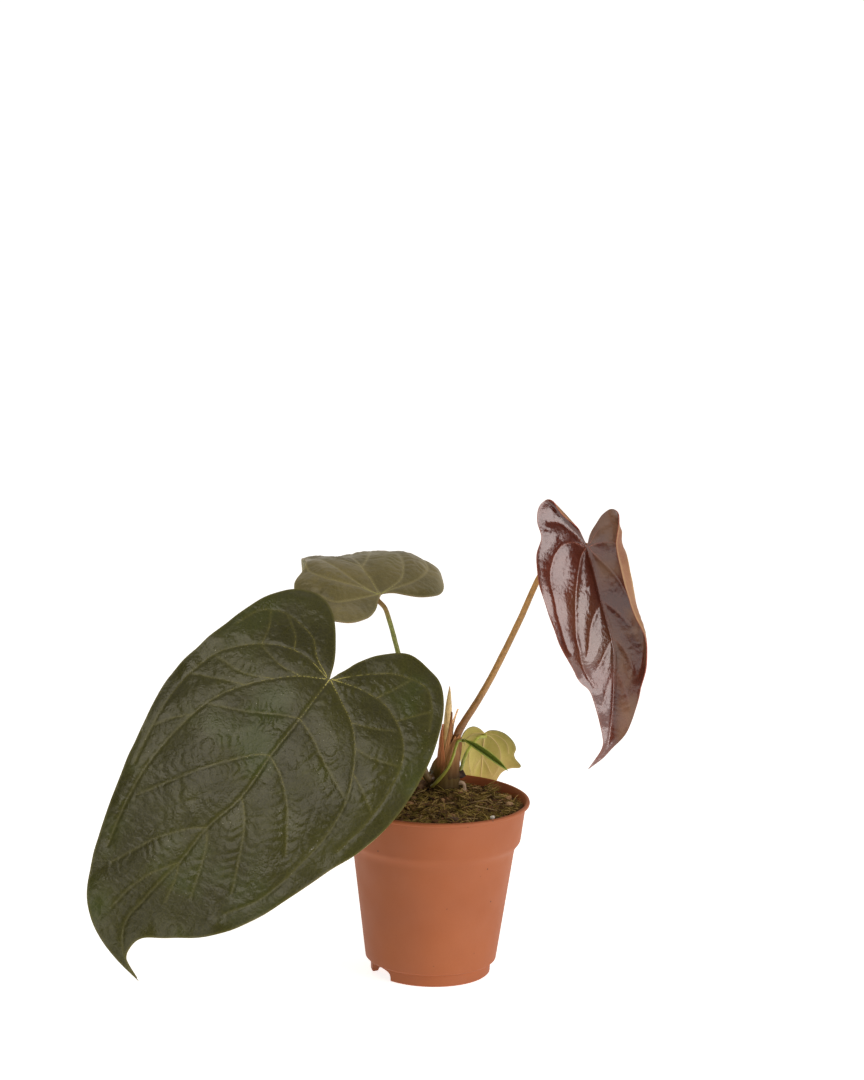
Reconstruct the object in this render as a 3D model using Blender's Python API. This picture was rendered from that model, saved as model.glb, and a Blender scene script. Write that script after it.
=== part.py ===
"""A potted foliage anthurium: a nursery pot, its growing medium and a plant of five leaves.

The origin is the centre of the pot's foot, +Z is up and the front of the pot faces -Y.
Lengths are written in millimetres and multiplied by MM. A leaf is first drawn flat, as (s, t) points:
s runs from the stalk's junction to the tip, and t to the right of the midrib as seen on the upper side.
Heights of the plant's points are above the pot's lip, and above_lip() adds the pot's height.
"""

import math
import random

import bmesh
import bpy
import numpy as np
from mathutils import Vector
from mathutils.bvhtree import BVHTree
from mathutils.geometry import delaunay_2d_cdt

MM = 0.001
GAP = 0.3  # clearance between two pieces that touch

# Pot
RIM_RADIUS = 60.0
POT_HEIGHT = 112.5
LIP_HEIGHT = 2.7
LIP_OVERHANG = 2.4
WALL = 1.3
BAND_HEIGHT = 25.5
BAND_STEP = 3.5
SHOULDER_HEIGHT = 5.0
BAND_TAPER = 0.118  # outward growth per unit of height
BODY_TAPER = 0.136
FOOT_HEIGHT = 9.0
FOOT_INSET = 3.6
FOOT_WIDTH = 4.0
FLOOR_LIFT = 2.2
PAD_RADIUS = 12.0
NOTCH_ANGLES = (-148.0, 32.0)  # compass directions of the foot's drain notches
NOTCH_WIDTH = 22.0
NOTCH_HEIGHT = 7.0
NOTCH_SQUARENESS = 0.4  # 1 makes the notch an ellipse, and less squares its corners
DRAIN_COUNT = 6
DRAIN_RADIUS = 3.5
DRAIN_CIRCLE = 24.0
DRAIN_START = 34.0  # compass direction of the first drain hole
POT_SIDES = 48

# Growing medium
SOIL_BELOW_LIP = 2.5
SOIL_FALL = 4.5  # how much lower the medium lies at the back of the pot
MOUND_HEIGHT = 7.0
MOUND_SPREAD = 26.0
MOSS_THICKNESS = 3.0
MOSS_LUMP = 0.6
SOIL_RINGS = 9
SOIL_SIDES = 24

# Plant
CROWN = (5.0, 18.0)  # where the stem stands, from the pot's axis
STEM_RADIUS = 10.0
STEM_RISE = 14.5  # of the stem's top above the pot's lip
STEM_TOP = POT_HEIGHT + STEM_RISE
STEM_LEAD = 2.5  # how far a piece runs straight out of the stem before it bends
STEM_SWELL = (0.98, 0.99, 0.94, 0.97, 0.9, 0.93, 0.9, 0.84)  # shares of its radius, from foot to top
BLADE_THICKNESS = 0.8
STALK_SIDES = 8
BLADE_CLEARANCE = 0.45  # between a stalk's top and the curved blade above it

# Loose pieces on the moss: place, held a set way in from the rim, half sizes, compass turn and color
LOOSE_PIECES = {
    "perlite_grain": ((RIM_RADIUS - 24, -37), (1.7, 1.4, 1.3), 20, (0.75, 0.73, 0.68)),
    "bark_chip_right": ((RIM_RADIUS - 13, -4), (3.6, 2.4, 1.6), 60, (0.36, 0.22, 0.12)),
    "bark_chip_front": ((12, 16 - RIM_RADIUS), (4.2, 2.2, 1.2), -15, (0.12, 0.06, 0.03)),
    "bark_chip_left": ((23 - RIM_RADIUS, -22), (3.4, 2.3, 1.3), 35, (0.2, 0.11, 0.05)),
}

LEAVES = {
    "large_leaf": {
        "junction": (-67, -28, 81.5),
        "aim": (-137, 33, 32),  # compass heading, fall below level and roll of the midrib, in degrees
        "droop": [(-60, -10), (0, 0), (235, 22)],  # further fall along the midrib
        "turn": [(0, 0)],  # swing to the right along the midrib
        "fold": ([(0, 0)], [(0, 0)]),  # rise of the left and right half at the midrib
        "curl": ([(0, -8)], [(0, -8)]),  # more of it at half_width, growing as the square
        "half_width": 85,
        "creases": [],
        "spacing": 10,
        "left": [(-12, -3), (-22, -5), (-34, -11), (-45, -20), (-49, -31), (-46, -49), (-36, -62),
                 (-18, -74), (10, -85), (44, -91), (74, -89), (98, -82), (144, -69), (172, -53),
                 (188, -34), (199, -19), (209, -16), (216, -20)],
        "right": [(-12, 6), (-24, 15), (-36, 26), (-44, 38), (-45, 51), (-38, 63), (-22, 71), (-2, 75),
                  (30, 79), (60, 80), (96, 70), (132, 58), (170, 43), (195, 29), (208, 16), (215, 2),
                  (219, -15)],
        "tip": (221, -34),
        "color": (0.035, 0.045, 0.018),
        "roughness": 0.35,
    },
    "upper_leaf": {
        "junction": (-38, 28, 124),
        "aim": (117, 0, -9),
        "droop": [(-40, -15), (0, -34), (18, -30), (38, -2), (70, 20), (125, 62)],
        "turn": [(0, 0)],
        "fold": ([(0, -3)], [(0, 14)]),
        "curl": ([(0, -30)], [(0, -32)]),
        "half_width": 50,
        "creases": [],
        "spacing": 7,
        "left": [(-6, -3), (-15, -8), (-22, -18), (-22, -31), (-12, -41), (8, -46), (30, -45), (54, -37),
                 (76, -27), (96, -15), (111, -6)],
        "right": [(-1, 6), (-4, 18), (-4, 33), (4, 46), (20, 53), (42, 52), (64, 43), (84, 30), (101, 16),
                  (113, 6)],
        "tip": (121, 0),
        "color": (0.07, 0.075, 0.035),
        "roughness": 0.5,
    },
    "red_leaf": {
        "junction": (90, -5, 165.5),
        "aim": (-72, 80, 0),
        "droop": [(0, 0), (140, 5)],
        "turn": [(0, -14), (60, -14), (80, 0), (140, 4)],
        "fold": ([(0, 25), (60, 22), (90, 35), (110, 30)], [(0, 10)]),
        "curl": ([(-30, 150), (0, 200), (60, 230), (100, 200)], [(0, 20)]),
        "half_width": 45,
        "creases": [((0, 0), -121, 150, 2.5, 1)],  # point, direction, angle, radius, half it is on
        "spacing": 5,
        "left": [(-7, -4), (-12, -9), (-17, -15), (-19, -23), (-13, -33), (2, -38), (20, -39), (44, -36),
                 (66, -30), (84, -22), (100, -15), (112, -11), (121, -7), (130, 1), (136, 7)],
        "right": [(-8, 2), (-18, 4), (-27, 7), (-33, 12), (-35, 19), (-32, 26), (-24, 30), (-14, 31),
                  (-5, 38), (9, 41), (23, 41), (39, 40), (59, 37), (76, 31), (86, 25), (93, 18), (108, 12),
                  (120, 8), (130, 8)],
        "tip": (142, 17),
        "color": (0.13, 0.03, 0.025),
        "roughness": 0.2,
    },
    "small_leaf": {
        "junction": (RIM_RADIUS - 29, RIM_RADIUS - 8, 29),  # behind the pot, clear of its rim
        "aim": (95, 58, 0),
        "droop": [(-15, -25), (0, 0), (60, 25)],
        "turn": [(0, 0)],
        "fold": ([(0, -10)], [(0, -10)]),
        "curl": ([(-10, -60), (10, -30), (50, -10)], [(-10, -60), (10, -30), (50, -10)]),
        "half_width": 22,
        "creases": [],
        "spacing": 4,
        "left": [(-4, -3), (-8, -8), (-8, -13), (-4, -16), (5, -17), (16, -16), (30, -13), (42, -8),
                 (52, -3)],
        "right": [(-3, 3), (-5, 9), (-4, 15), (1, 20), (9, 22), (19, 20), (30, 15), (42, 9), (52, 4)],
        "tip": (60, 0),
        "color": (0.42, 0.42, 0.13),
        "roughness": 0.5,
    },
    "juvenile_leaf": {
        "junction": (17, 12, 32.5),
        "aim": (-12, 30, -55),
        "droop": [(0, 0), (36, 12)],
        "turn": [(0, 0)],
        "fold": ([(0, 40)], [(0, 40)]),
        "curl": ([(0, 10)], [(0, 10)]),
        "half_width": 8,
        "creases": [],
        "spacing": 2.5,
        "left": [(3, -2), (9, -4.2), (18, -4.6), (27, -3.2)],
        "right": [(3, 2), (9, 4.2), (18, 4.6), (27, 3.2)],
        "tip": (35, 0),
        "color": (0.06, 0.1, 0.02),
        "roughness": 0.45,
    },
}

# Stalks: where each leaves the stem, as a compass direction and height on its side or a place on its top,
# points of its route from there to the junction, and its radius at the base and at the top
STALKS = {
    "large_leaf": {
        "side": (222, 9.5),
        "via": [(-6, 8, 12.5), (-11, 4, 25.5), (-22, -3, 47.5), (-40, -14, 71.5), (-56, -21, 83.5)],
        "radii": (2.8, 1.9),
        "color": (0.16, 0.15, 0.05),
    },
    "upper_leaf": {
        "side": (149, 8.5),
        "via": [(-8, 24.5, 12.5), (-10, 25, 25.5), (-14, 25, 45.5), (-26, 26, 87.5), (-30, 27, 101.5),
                (-34.5, 28, 114.5)],
        "radii": (1.8, 1.5),
        "color": (0.2, 0.19, 0.04),
    },
    "red_leaf": {
        "top": (10, 18),
        "via": [(11, 18, 27.5), (14, 17, 38.5), (18, 16.5, 46.5), (26, 15, 60.5), (36, 14, 80.5), (50, 12, 112.5),
                (62, 9, 142.5), (74, 5, 160.5)],
        "radii": (3.4, 1.6),
        "color": (0.33, 0.13, 0.03),
    },
    "small_leaf": {
        "side": (36, 8.5),
        "via": [(16.5, 27, 12.5), (18.5, 31, 18.5), (21.5, 37, 23), (27, 46, 27.5)],
        "radii": (1.3, 1.0),
        "color": (0.25, 0.36, 0.05),
    },
    "juvenile_leaf": {
        "side": (-125, 5),
        "via": [(0.5, 6.2, 8), (4, 5.5, 12.2), (8, 5.8, 18.1), (11, 7, 24), (12.3, 9, 27.8),
                (14, 10.5, 31.5)],
        "radii": (1.2, 0.9),
        "color": (0.2, 0.24, 0.04),
    },
}


def material(name, color, roughness):
    made = bpy.data.materials.new(name)
    made.use_nodes = True
    shader = made.node_tree.nodes["Principled BSDF"]
    shader.inputs["Base Color"].default_value = (*color, 1.0)
    shader.inputs["Roughness"].default_value = roughness
    made.diffuse_color = (*color, 1.0)
    return made


def add_mesh(name, points, faces, color, roughness):
    """A shaded object from points in millimetres."""
    mesh = bpy.data.meshes.new(name)
    mesh.from_pydata([Vector(point) * MM for point in points], [], faces)
    mesh.materials.append(material(name, color, roughness))
    made = bpy.data.objects.new(name, mesh)
    bpy.context.scene.collection.objects.link(made)
    shaped = bmesh.new()
    shaped.from_mesh(mesh)
    bmesh.ops.recalc_face_normals(shaped, faces=shaped.faces)
    shaped.to_mesh(mesh)
    shaped.free()
    mesh.shade_smooth()
    mesh.set_sharp_from_angle(angle=math.radians(40))
    return made


# Curves and outlines


def smooth_line(points, steps):
    """A Catmull-Rom curve through the points, with the given number of steps between two of them."""
    knots = np.array(points, float)
    ends = np.vstack([2 * knots[0] - knots[1], knots, 2 * knots[-1] - knots[-2]])
    line = []
    for before, start, stop, after in zip(ends, ends[1:], ends[2:], ends[3:]):
        for u in np.arange(steps) / steps:
            bend = 2 * before - 5 * start + 4 * stop - after
            swing = 3 * start - before - 3 * stop + after
            line.append(start + ((stop - before) * u + bend * u**2 + swing * u**3) / 2)
    return np.array([*line, knots[-1]])


def spaced(line, spacing):
    """The same line with points at about equal spacing."""
    run = np.concatenate([[0], np.cumsum(np.linalg.norm(np.diff(line, axis=0), axis=1))])
    count = max(2, round(run[-1] / spacing) + 1)
    at = np.linspace(0, run[-1], count)
    return np.stack([np.interp(at, run, column) for column in line.T], axis=1)


def within(outline, point):
    """Whether a flat point lies inside a closed outline."""
    inside = False
    for (x0, y0), (x1, y1) in zip(outline, np.roll(outline, -1, axis=0)):
        if (y0 > point[1]) != (y1 > point[1]) and point[0] < (x1 - x0) * (point[1] - y0) / (y1 - y0) + x0:
            inside = not inside
    return inside


def off_edge(outline, point):
    """Distance from a flat point to the nearest edge of a closed outline."""
    start = np.asarray(outline)
    along = np.roll(start, -1, axis=0) - start
    share = np.clip(((point - start) * along).sum(1) / (along**2).sum(1), 0, 1)
    return np.linalg.norm(start + along * share[:, None] - point, axis=1).min()


def flat_blade(leaf):
    """(points, triangles) of the flat leaf: its margin, and rows of points inside it."""
    spacing = leaf["spacing"]
    sides = [
        spaced(smooth_line([(0, 0), *leaf[half], leaf["tip"]], 6), spacing * 0.8) for half in ("left", "right")
    ]
    outline = np.vstack([sides[0], sides[1][-2:0:-1]])
    inner = []
    low, high = outline.min(0), outline.max(0)
    for row, s in enumerate(np.arange(low[0], high[0], spacing * 0.87)):
        for t in np.arange(low[1] + (row % 2) * spacing / 2, high[1], spacing):
            if within(outline, (s, t)) and off_edge(outline, (s, t)) > spacing * 0.45:
                inner.append((s, t))
    points = [Vector(point) for point in [*outline, *inner]]
    edges = [(i, (i + 1) % len(outline)) for i in range(len(outline))]
    flat = delaunay_2d_cdt(points, edges, [], 1, 1e-4)
    return np.array(flat[0]), [tuple(face) for face in flat[2]]


# Leaf bending


def above_lip(points):
    """Points whose heights are given above the pot's lip, in the object's frame."""
    return np.array(points, float) + (0, 0, POT_HEIGHT)


def along(table, at):
    """Values at the given distances, from hand-set (distance, value) pairs."""
    distances, values = zip(*table)
    return np.interp(at, distances, values)


def leaf_axes(leaf):
    """Forward, right and upward directions of the leaf at its junction."""
    heading, fall, roll = (math.radians(angle) for angle in leaf["aim"])
    level = math.cos(fall)
    forward = np.array([math.cos(heading) * level, math.sin(heading) * level, -math.sin(fall)])
    side = np.array([math.sin(heading), -math.cos(heading), 0.0])
    up = np.cross(side, forward)
    return forward, side * math.cos(roll) + up * math.sin(roll), up * math.cos(roll) - side * math.sin(roll)


def midrib(leaf):
    """Distances, places, rightward and upward directions along the bent midrib."""
    reach = np.linspace(-90, 260, 701)
    forward, right, up = leaf_axes(leaf)
    droop = np.radians(along(leaf["droop"], reach))[:, None]
    turn = np.radians(along(leaf["turn"], reach))[:, None]
    ahead = np.cos(droop) * (np.cos(turn) * forward + np.sin(turn) * right) - np.sin(droop) * up
    rightward = np.cos(turn) * right - np.sin(turn) * forward
    steps = (ahead[1:] + ahead[:-1]) / 2 * (reach[1] - reach[0])
    places = np.vstack([np.zeros(3), np.cumsum(steps, axis=0)])
    places -= columns_at(reach, places, np.zeros(1))
    return reach, places, rightward, np.cross(rightward, ahead)


def columns_at(distances, columns, at):
    return np.stack([np.interp(at, distances, column) for column in columns.T], axis=1)


def crease(s, t, lift, point, direction, angle, radius, half):
    """Wraps what lies beyond a flat line round a small cylinder, as a folded-over lobe does."""
    c, w = math.cos(math.radians(direction)), math.sin(math.radians(direction))
    beyond = np.where(t * half > 0, np.maximum((s - point[0]) * c + (t - point[1]) * w, 0), 0)
    bend = np.minimum(beyond / radius, math.radians(angle))
    rest = beyond - bend * radius
    kept = radius * np.sin(bend) + rest * np.cos(bend)
    raised = radius * (1 - np.cos(bend)) + rest * np.sin(bend)
    return s + (kept - beyond) * c, t + (kept - beyond) * w, lift + raised


def bent(leaf, flat, rise=0.0):
    """Places in space of flat (s, t) points that lie rise above the blade's middle surface."""
    s, t = np.asarray(flat, float).T
    lift = np.zeros(len(s))
    for fold_line in leaf["creases"]:
        s, t, lift = crease(s, t, lift, *fold_line)
    width = np.abs(t)
    fold, curl = (
        np.radians(np.where(t > 0, along(leaf[key][1], s), along(leaf[key][0], s))) for key in ("fold", "curl")
    )
    shares = (np.arange(16) + 0.5) / 16
    slope = fold[:, None] + curl[:, None] * (width[:, None] * shares / leaf["half_width"]) ** 2
    across = np.cos(slope).mean(1) * t
    climb = np.sin(slope).mean(1) * width
    reach, places, rightward, upward = midrib(leaf)
    place, right, up = (columns_at(reach, column, s) for column in (places, rightward, upward))
    edge_slope = fold + curl * (width / leaf["half_width"]) ** 2
    normal = up * np.cos(edge_slope)[:, None] - right * (np.sin(edge_slope) * np.sign(t))[:, None]
    offset = right * across[:, None] + up * climb[:, None] + normal * (lift + rise)[:, None]
    return above_lip(leaf["junction"]) + place + offset


def add_blade(name, leaf):
    """The blade as a bent sheet with a Solidify for its thickness."""
    flat, faces = flat_blade(leaf)
    made = add_mesh(name + "_blade", bent(leaf, flat), faces, leaf["color"], leaf["roughness"])
    skin = made.modifiers.new("thickness", "SOLIDIFY")
    skin.thickness = BLADE_THICKNESS * MM
    skin.offset = 0


# Tubes


def tube(route, radii, sides, tip=False):
    """(points, faces) of a closed tube along a route, with a radius at each point."""
    route = np.asarray(route, float)
    ahead = np.gradient(route, axis=0)
    ahead /= np.linalg.norm(ahead, axis=1)[:, None]
    side = np.cross(ahead[0], (0.0, 1.0, 0.2))
    points = []
    for place, direction, radius in zip(route, ahead, radii):
        side = side - direction * side.dot(direction)
        side /= np.linalg.norm(side)
        other = np.cross(direction, side)
        for turn in np.arange(sides) * 2 * math.pi / sides:
            points.append(place + radius * (side * math.cos(turn) + other * math.sin(turn)))
    faces = []
    for ring in range(len(route) - 1):
        for i in range(sides):
            j = (i + 1) % sides
            low, high = ring * sides, (ring + 1) * sides
            faces.append((low + i, low + j, high + j, high + i))
    faces.append(tuple(range(sides))[::-1])
    faces.append(tuple(range((len(route) - 1) * sides, len(route) * sides)))
    return points, faces


def stem_foot():
    return soil_height(*CROWN) - MOSS_THICKNESS + 2 * GAP


def from_side(compass, rise):
    """Two points that lead straight out of the stem's side, rise above the lip, the first clear of it by GAP."""
    height = POT_HEIGHT + rise
    heights = np.linspace(stem_foot(), STEM_TOP, len(STEM_SWELL))
    radius = STEM_RADIUS * np.interp(height, heights, STEM_SWELL) + GAP
    out = np.array([math.cos(math.radians(compass)), math.sin(math.radians(compass)), 0])
    start = np.array([*CROWN, height]) + out * radius
    return [start, start + out * STEM_LEAD]


def from_top(x, y):
    """Two points that lead straight up from the stem's top, the first clear of it by GAP."""
    return [np.array([x, y, STEM_TOP + GAP]), np.array([x, y, STEM_TOP + GAP + STEM_LEAD])]


def led_line(leads, points, steps):
    """A straight start of two points, then a smooth line on through the rest."""
    return np.vstack([leads[:1], smooth_line([leads[1], *points], steps)])


def add_stalk(name, leaf, stalk):
    """A leaf stalk, from the stem to just under its blade, swollen at the top joint."""
    forward, _, up = leaf_axes(leaf)
    base_radius, top_radius = stalk["radii"]
    swell = top_radius * 0.25
    lead = math.radians(along(leaf["droop"], 0))
    start = forward * math.cos(lead) - up * math.sin(lead)
    under = up * math.cos(lead) + forward * math.sin(lead)
    top = above_lip(leaf["junction"]) + start * (top_radius + swell) * 0.9
    top -= under * (BLADE_THICKNESS / 2 + BLADE_CLEARANCE)
    approach = top - under * 3 * top_radius - start * top_radius
    leads = from_side(*stalk["side"]) if "side" in stalk else from_top(*stalk["top"])
    route = led_line(leads, [*above_lip(stalk["via"]), approach, top], 3)
    share = np.linspace(0, 1, len(route))
    radii = base_radius + (top_radius - base_radius) * np.sqrt(share)
    radii += swell * np.clip((share - 0.85) / 0.1, 0, 1)
    points, faces = tube(route, radii, STALK_SIDES)
    ring = np.array(points[-STALK_SIDES:])
    level = (ring - top) @ under
    points[-STALK_SIDES:] = list(ring - under * level[:, None])
    add_mesh(name + "_stalk", points, faces, stalk["color"], 0.45)


# Pot


def pot_profile():
    """Outer and inner (radius, height) points, from the foot's inner edge round to the floor's middle."""
    lip_under = POT_HEIGHT - LIP_HEIGHT
    band_top = RIM_RADIUS - LIP_OVERHANG
    band_low = POT_HEIGHT - BAND_HEIGHT
    band_foot = band_top - (lip_under - band_low) * BAND_TAPER
    shoulder = band_low - SHOULDER_HEIGHT
    body_top = band_foot - BAND_STEP
    body_foot = body_top - (shoulder - FOOT_HEIGHT) * BODY_TAPER
    foot = body_foot - FOOT_INSET
    floor = FLOOR_LIFT + WALL
    return [
        (0, 0),
        (PAD_RADIUS, 0),
        (PAD_RADIUS + 1, FLOOR_LIFT),
        (foot - FOOT_WIDTH - 1, FLOOR_LIFT),
        (foot - FOOT_WIDTH, 0),
        (foot, 0),
        (foot + 0.4, FOOT_HEIGHT - 1.5),
        (body_foot, FOOT_HEIGHT),
        (body_top, shoulder),
        (band_foot, band_low),
        (band_top, lip_under),
        (RIM_RADIUS - 0.4, lip_under + 0.2),
        (RIM_RADIUS, lip_under + LIP_HEIGHT / 2),
        (RIM_RADIUS - 0.5, POT_HEIGHT - 0.4),
        (RIM_RADIUS - 1.3, POT_HEIGHT),
        (RIM_RADIUS - 2.2, POT_HEIGHT - 0.3),
        (inner_radius(lip_under), lip_under),
        (inner_radius(band_low), band_low),
        (inner_radius(shoulder), shoulder),
        (inner_radius(FOOT_HEIGHT + 1), FOOT_HEIGHT + 1),
        (foot - WALL, floor + 2),
        (foot - WALL - 2, floor),
        (0, floor),
    ]


def inner_radius(height):
    """Radius of the pot's inner wall at a height between the foot and the lip."""
    lip_under = POT_HEIGHT - LIP_HEIGHT
    band_low = POT_HEIGHT - BAND_HEIGHT
    band_foot = RIM_RADIUS - LIP_OVERHANG - (lip_under - band_low) * BAND_TAPER
    shoulder = band_low - SHOULDER_HEIGHT
    if height >= band_low:
        return band_foot + (height - band_low) * BAND_TAPER - WALL
    if height >= shoulder:
        return band_foot - BAND_STEP * (band_low - height) / SHOULDER_HEIGHT - WALL
    return band_foot - BAND_STEP - (shoulder - height) * BODY_TAPER - WALL


def turned(profile, sides):
    """(points, faces) of a profile turned once round Z; its first and last points lie on the axis."""
    points = [(0, 0, profile[0][1])]
    for radius, height in profile[1:-1]:
        for turn in np.arange(sides) * 2 * math.pi / sides:
            points.append((radius * math.cos(turn), radius * math.sin(turn), height))
    points.append((0, 0, profile[-1][1]))
    last = len(points) - 1
    faces = []
    for i in range(sides):
        j = (i + 1) % sides
        faces.append((0, 1 + j, 1 + i))
        for ring in range(len(profile) - 3):
            low, high = 1 + ring * sides, 1 + (ring + 1) * sides
            faces.append((low + i, low + j, high + j, high + i))
        faces.append((last, last - sides + i, last - sides + j))
    return points, faces


def add_cutter(name, points, faces, target):
    cutter = add_mesh(name, points, faces, (0.5, 0.5, 0.5), 0.5)
    cutter.hide_render = True
    cutter.display_type = "WIRE"
    cut = target.modifiers.new(name, "BOOLEAN")
    cut.operation = "DIFFERENCE"
    cut.object = cutter


def add_pot():
    points, faces = turned(pot_profile(), POT_SIDES)
    pot = add_mesh("pot", points, faces, (0.55, 0.17, 0.08), 0.4)
    foot = pot_profile()[5][0]
    half = NOTCH_WIDTH / 2
    for number, compass in enumerate(NOTCH_ANGLES):
        turns = np.linspace(0.2, math.pi - 0.2, 8)
        arch = [(half * math.cos(a), NOTCH_HEIGHT * math.sin(a) ** NOTCH_SQUARENESS) for a in turns]
        section = [(half, -5), *arch, (-half, -5)]
        out = np.array([math.cos(math.radians(compass)), math.sin(math.radians(compass)), 0])
        side = np.array([-out[1], out[0], 0])
        ends = (foot - FOOT_WIDTH - 2.5, foot + 0.9)
        ring = [out * reach + side * x + (0, 0, z) for reach in ends for x, z in section]
        count = len(section)
        walls = [(i, (i + 1) % count, count + (i + 1) % count, count + i) for i in range(count)]
        caps = [tuple(range(count))[::-1], tuple(range(count, 2 * count))]
        add_cutter(f"notch_cutter_{number}", ring, [*walls, *caps], pot)
    for number in range(DRAIN_COUNT):
        turn = math.radians(DRAIN_START + number * 360 / DRAIN_COUNT)
        x, y = DRAIN_CIRCLE * math.cos(turn), DRAIN_CIRCLE * math.sin(turn)
        route = [(x, y, 0.5), (x, y, 4), (x, y, 9)]
        add_cutter(f"drain_cutter_{number}", *tube(route, [DRAIN_RADIUS] * 3, 12), pot)


# Growing medium


def soil_height(x, y):
    """Height of the growing medium's top, mounded round the stem."""
    mound = MOUND_HEIGHT * math.exp(-((math.hypot(x - CROWN[0], y - CROWN[1]) / MOUND_SPREAD) ** 2))
    ripple = 0.4 * math.sin(x / 6.0) * math.cos(y / 7.0)
    return POT_HEIGHT - SOIL_BELOW_LIP - SOIL_FALL * (0.5 + y / RIM_RADIUS / 2) + mound + ripple


def soil_disc():
    """Flat points of the medium's round top, ring by ring from the middle, and its triangles."""
    lowest = POT_HEIGHT - SOIL_BELOW_LIP - SOIL_FALL - MOSS_THICKNESS
    radius = inner_radius(lowest) - soil_clearance()
    points = [(0.0, 0.0)]
    for ring in range(1, SOIL_RINGS + 1):
        points += [(x, y) for x, y, _ in circle(radius * ring / SOIL_RINGS, 0)]
    faces = [(0, 1 + i, 1 + (i + 1) % SOIL_SIDES) for i in range(SOIL_SIDES)]
    for ring in range(SOIL_RINGS - 1):
        low, high = 1 + ring * SOIL_SIDES, 1 + (ring + 1) * SOIL_SIDES
        for i in range(SOIL_SIDES):
            j = (i + 1) % SOIL_SIDES
            faces += [(low + i, high + i, high + j), (low + i, high + j, low + j)]
    return points, faces


def soil_clearance():
    """Room between the medium's corners and the flats of the pot's inner wall."""
    return GAP + RIM_RADIUS * (1 - math.cos(math.pi / POT_SIDES))


def circle(radius, height):
    return [
        (radius * math.cos(turn), radius * math.sin(turn), height)
        for turn in np.arange(SOIL_SIDES) * 2 * math.pi / SOIL_SIDES
    ]


def belt(upper, lower):
    """Faces between two rings that start at the given points."""
    return [
        (upper + i, lower + i, lower + (i + 1) % SOIL_SIDES, upper + (i + 1) % SOIL_SIDES)
        for i in range(SOIL_SIDES)
    ]


def add_growing_medium():
    """The root ball fills the pot, clear of its wall, up to the moss."""
    flat, faces = soil_disc()
    points = [(x, y, soil_height(x, y) - MOSS_THICKNESS) for x, y in flat]
    above = len(flat) - SOIL_SIDES
    band_low = POT_HEIGHT - BAND_HEIGHT
    low = FOOT_HEIGHT + 3
    rings = [circle(inner_radius(at) - soil_clearance(), at) for at in (band_low + 1, band_low - 6, low)]
    rings.append(circle(inner_radius(low) - FOOT_INSET - 4, FLOOR_LIFT + WALL + GAP))
    for ring in rings:
        faces += belt(above, len(points))
        above = len(points)
        points += ring
    faces.append(tuple(range(above, above + SOIL_SIDES))[::-1])
    add_mesh("growing_medium", points, faces, (0.05, 0.03, 0.02), 0.95)


def moss_top():
    """(points, triangles) of the moss's uneven top."""
    flat, faces = soil_disc()
    lumps = random.Random(4)
    return [(x, y, soil_height(x, y) + lumps.uniform(-MOSS_LUMP, MOSS_LUMP)) for x, y in flat], faces


def add_moss():
    """The living moss on the medium, with a hole where the stem goes through."""
    top, faces = moss_top()
    count = len(top)
    rim = count - SOIL_SIDES
    under = [(x, y, soil_height(x, y) - MOSS_THICKNESS + GAP) for x, y, _ in top]
    faces_under = [tuple(count + i for i in reversed(face)) for face in faces]
    moss_faces = [*faces, *faces_under, *belt(rim, count + rim)]
    moss = add_mesh("moss_layer", [*top, *under], moss_faces, (0.13, 0.1, 0.04), 0.95)
    x, y = CROWN
    level = soil_height(x, y)
    route = [(x, y, level - 15), (x, y, level + 15)]
    add_cutter("stem_hole_cutter", *tube(route, [STEM_RADIUS + GAP] * 2, 24), moss)


def add_loose_pieces():
    """Grains and chips that lie on the moss, each lowered until it is GAP above the ground under it."""
    ground = BVHTree.FromPolygons(*moss_top())
    for name, ((x, y), sizes, compass, color) in LOOSE_PIECES.items():
        shaped = bmesh.new()
        bmesh.ops.create_icosphere(shaped, subdivisions=2, radius=1)
        turn = math.radians(compass)
        chips = random.Random(name)
        points = []
        for corner in shaped.verts:
            a, b, c = (value * size * chips.uniform(0.88, 1) for value, size in zip(corner.co, sizes))
            across, along_y = a * math.cos(turn) - b * math.sin(turn), a * math.sin(turn) + b * math.cos(turn)
            points.append((x + across, y + along_y, c))
        faces = [[corner.index for corner in face.verts] for face in shaped.faces]
        shaped.free()
        down = Vector((0, 0, -1))
        level = GAP + max(ground.ray_cast(Vector((*spot, 2 * POT_HEIGHT)), down)[0].z - c for *spot, c in points)
        add_mesh(name, [(*spot, c + level) for *spot, c in points], faces, color, 0.9)


# Crown of the plant


def add_stem():
    """The short thick stem, from the growing medium to the level where the stalks stand."""
    route = [(*CROWN, height) for height in np.linspace(stem_foot(), STEM_TOP, len(STEM_SWELL))]
    radii = [STEM_RADIUS * share for share in STEM_SWELL]
    add_mesh("stem", *tube(route, radii, 16), (0.07, 0.06, 0.03), 0.7)


def add_shoot():
    """The pointed new shoot, still rolled in its pale sheath."""
    route = led_line(from_top(4.5, 12.5), above_lip([(6, 13.5, 29.5), (7, 14, 47.5), (7.6, 14, 69)]), 4)
    share = np.linspace(0, 1, len(route))
    radii = 2.3 * (1 - share**2.2) + 0.25
    add_mesh("new_shoot", *tube(route, radii, 10), (0.62, 0.4, 0.16), 0.5)


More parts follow.
